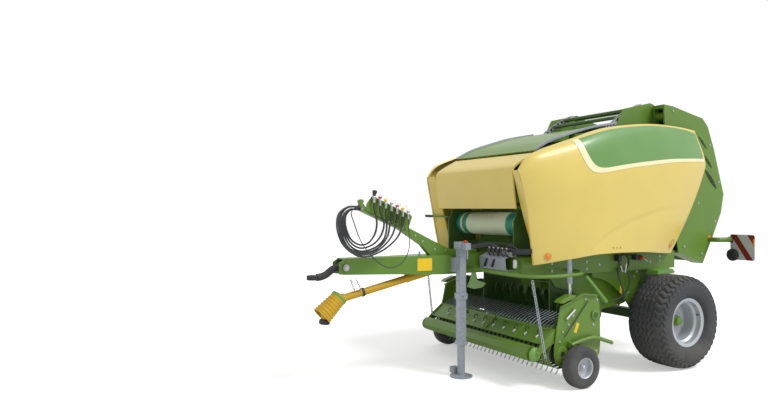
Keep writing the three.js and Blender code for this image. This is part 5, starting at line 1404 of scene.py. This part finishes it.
# %% Frame side details
frame_face = 0.7705
frame_bolts = [(-0.28, 1.093), (-0.324, 1.032), (-0.43, 0.847), (-1.1, 1.16), (-1.1, 1.24),
               (-0.9, 1.2), (-0.05, 1.2), (0.12, 1.2), (0.12, 1.26), (-1.62, 1.16),
               (-1.62, 1.24), (-1.36, 1.28)]
make_pair("frame_bolts", bolts(spots_at(frame_face, frame_bolts)), steel, "chassis",
          slot="dark_iron")
t = np.append(np.linspace(0, 2 * np.pi, 49)[:-1], 0)
loop = np.stack([0 * t + 0.83, -0.567 + 0.082 * np.cos(t), 1.222 + 0.088 * np.sin(t)], -1)
drops = [[(0.8, -0.637, 1.15), (0.83, -0.655, 1.06), (0.84, -0.6, 0.9), (0.83, -0.575, 0.8),
          (0.8, -0.64, 0.715), (0.74, -0.7, 0.69)],
         [(0.8, -0.52, 1.15), (0.86, -0.5, 1.02), (0.84, -0.56, 0.86), (0.8, -0.7, 0.78),
          (0.76, -0.87, 0.747)],
         [(0.79, -0.32, 1.26), (0.82, -0.4, 1.3), (0.82, -0.48, 1.3), (0.83, -0.56, 1.308)]]
hoses = [tube(loop, 0.011, 12), *[tube(bend(drop, 44), 0.0085, 10) for drop in drops]]
make_pair("side_hoses", merged(*hoses), hose_rubber, "chassis", slot="hose")
holders = [block((frame_face, 0.84), (-0.66, -0.6), (1.23, 1.3)),
           block((frame_face, 0.84), (-0.37, -0.27), (1.235, 1.295))]
make_pair("side_valves", merged(*holders), black_plastic, "chassis", bevel=0.006)
dial = button([(0, 0), (0.02, 0), (0.02, 0.03), (0.014, 0.038), (0, 0.039)], (0.84, -0.29, 1.262),
              LEFT)
make_pair("side_valve_caps", dial, cap_red, "chassis")
fittings = [tube([(0.84, -0.56, 1.1), (0.84, -0.54, 1.2)], 0.012),
            tube([(0.84, -0.6, 1.11), (0.835, -0.63, 1.18)], 0.01),
            tube([(0.83, -0.25, 1.25), (0.83, -0.16, 1.21)], 0.009)]
make_pair("side_fittings", merged(*fittings), steel, "chassis", slot="dark_iron")
plate = block((frame_face, frame_face + 0.0015), (-0.566, -0.536), (0.85, 0.94))
make_pair("side_label", plate, label_yellow, "chassis")
strut = tube([(0.9, -1.25, 1.1), (0.9, -0.931, 0.791)], 0.022, 20)
bracket = prism([(-0.12, 1.06), (-0.1, 1.105), (0.16, 1.12), (0.2, 1.08), (0.18, 1.062)], "x",
                frame_face, 0.93)
# The struts and bracket take the green with painted light.
make_pair("side_struts", merged(strut, bracket), green_with_painted_light, "chassis", bevel=0.003)

# %% Chain links on the front slat run
front_run = [(-0.76, 1.18), (-1.01, 1.56), (-1.06, 2.05), (-0.9, 2.48), (-0.6, 2.745),
             (-0.3, 2.975), (-0.02, 3.105)]
chain_line = bend(front_run, 34, 300)
way = np.gradient(chain_line, axis=0)
chain_turns = turned_about_x(np.arctan2(way[:, 1], way[:, 0]))
chain_places = np.column_stack([np.zeros(len(chain_line)), chain_line])
t = np.linspace(-np.pi / 2, np.pi / 2, 6)
half_round = np.stack([0.034 + 0.022 * np.cos(t), 0.022 * np.sin(t)], -1)
side_plate = np.vstack([half_round, -half_round])
links = [stamped(prism(side_plate, "x", *ends), chain_places, chain_turns)
         for ends in ((0.548, 0.5585), (0.583, 0.594))]
make("slat_chain_links", both(*links), steel, "chassis", slot="dark_iron")
print("details made")

# %% [markdown]
# ## Studio
# A pale floor and one broad soft lamp from behind the camera's right shoulder, with an even white
# sky. The floor adds a little light of its own for the camera only, so it reads as white where the
# lamp reaches it and still shows the shadow.

# %% Floor, lamp and sky
floor_shell = grid(np.stack([*np.meshgrid([-30.0, 30.0], [-30.0, 30.0], indexing="ij"),
                             np.zeros((2, 2))], -1))
floor_mesh = bpy.data.meshes.new("floor")
floor_mesh.from_pydata(floor_shell[0].tolist(), [], floor_shell[1][0].tolist())
floor = bpy.data.objects.new("floor", floor_mesh)
bpy.context.scene.collection.objects.link(floor)
floor_look = bpy.data.materials.new("pale floor")
floor_look.use_nodes = True
tree = floor_look.node_tree
tree.nodes.remove(tree.nodes["Principled BSDF"])
matt = node(tree, "BsdfDiffuse", {"Color": (0.82, 0.82, 0.82, 1.0)})
glow = node(tree, "Emission", {"Color": (1.0, 1.0, 1.0, 1.0), "Strength": 0.42})
seen = node(tree, "LightPath").outputs["Is Camera Ray"]
both = node(tree, "AddShader")
tree.links.new(matt.outputs[0], both.inputs[0])
tree.links.new(glow.outputs[0], both.inputs[1])
choice = node(tree, "MixShader", {0: seen})
tree.links.new(matt.outputs[0], choice.inputs[1])
tree.links.new(both.outputs[0], choice.inputs[2])
tree.links.new(choice.outputs[0], tree.nodes["Material Output"].inputs["Surface"])
floor_mesh.materials.append(floor_look)

sky = bpy.context.scene.world or bpy.data.worlds.new("sky")
bpy.context.scene.world = sky
sky.use_nodes = True
tree = sky.node_tree
tree.nodes.clear()
rays = node(tree, "LightPath")
clear = math_node(tree, "MAXIMUM", rays.outputs["Is Camera Ray"], rays.outputs["Is Glossy Ray"])
level = node(tree, "MapRange", {"Value": clear, 3: 0.62, 4: 1.0}).outputs[0]
backdrop = node(tree, "Background", {"Color": (1.0, 1.0, 1.0, 1.0), "Strength": level})
tree.links.new(backdrop.outputs[0], node(tree, "OutputWorld").inputs["Surface"])

lamp_data = bpy.data.lights.new("key lamp", "SUN")
lamp_data.energy = 2.1
lamp_data.angle = math.radians(22)
key_lamp = bpy.data.objects.new("key lamp", lamp_data)
bpy.context.scene.collection.objects.link(key_lamp)
key_lamp.rotation_euler = Vector((-0.62, -0.42, -0.95)).to_track_quat("-Z", "Y").to_euler()
bpy.context.scene.view_settings.view_transform = "Standard"

# %% Sizes, and the end
print("new pieces", len(made), "faces", sum(made.values()))
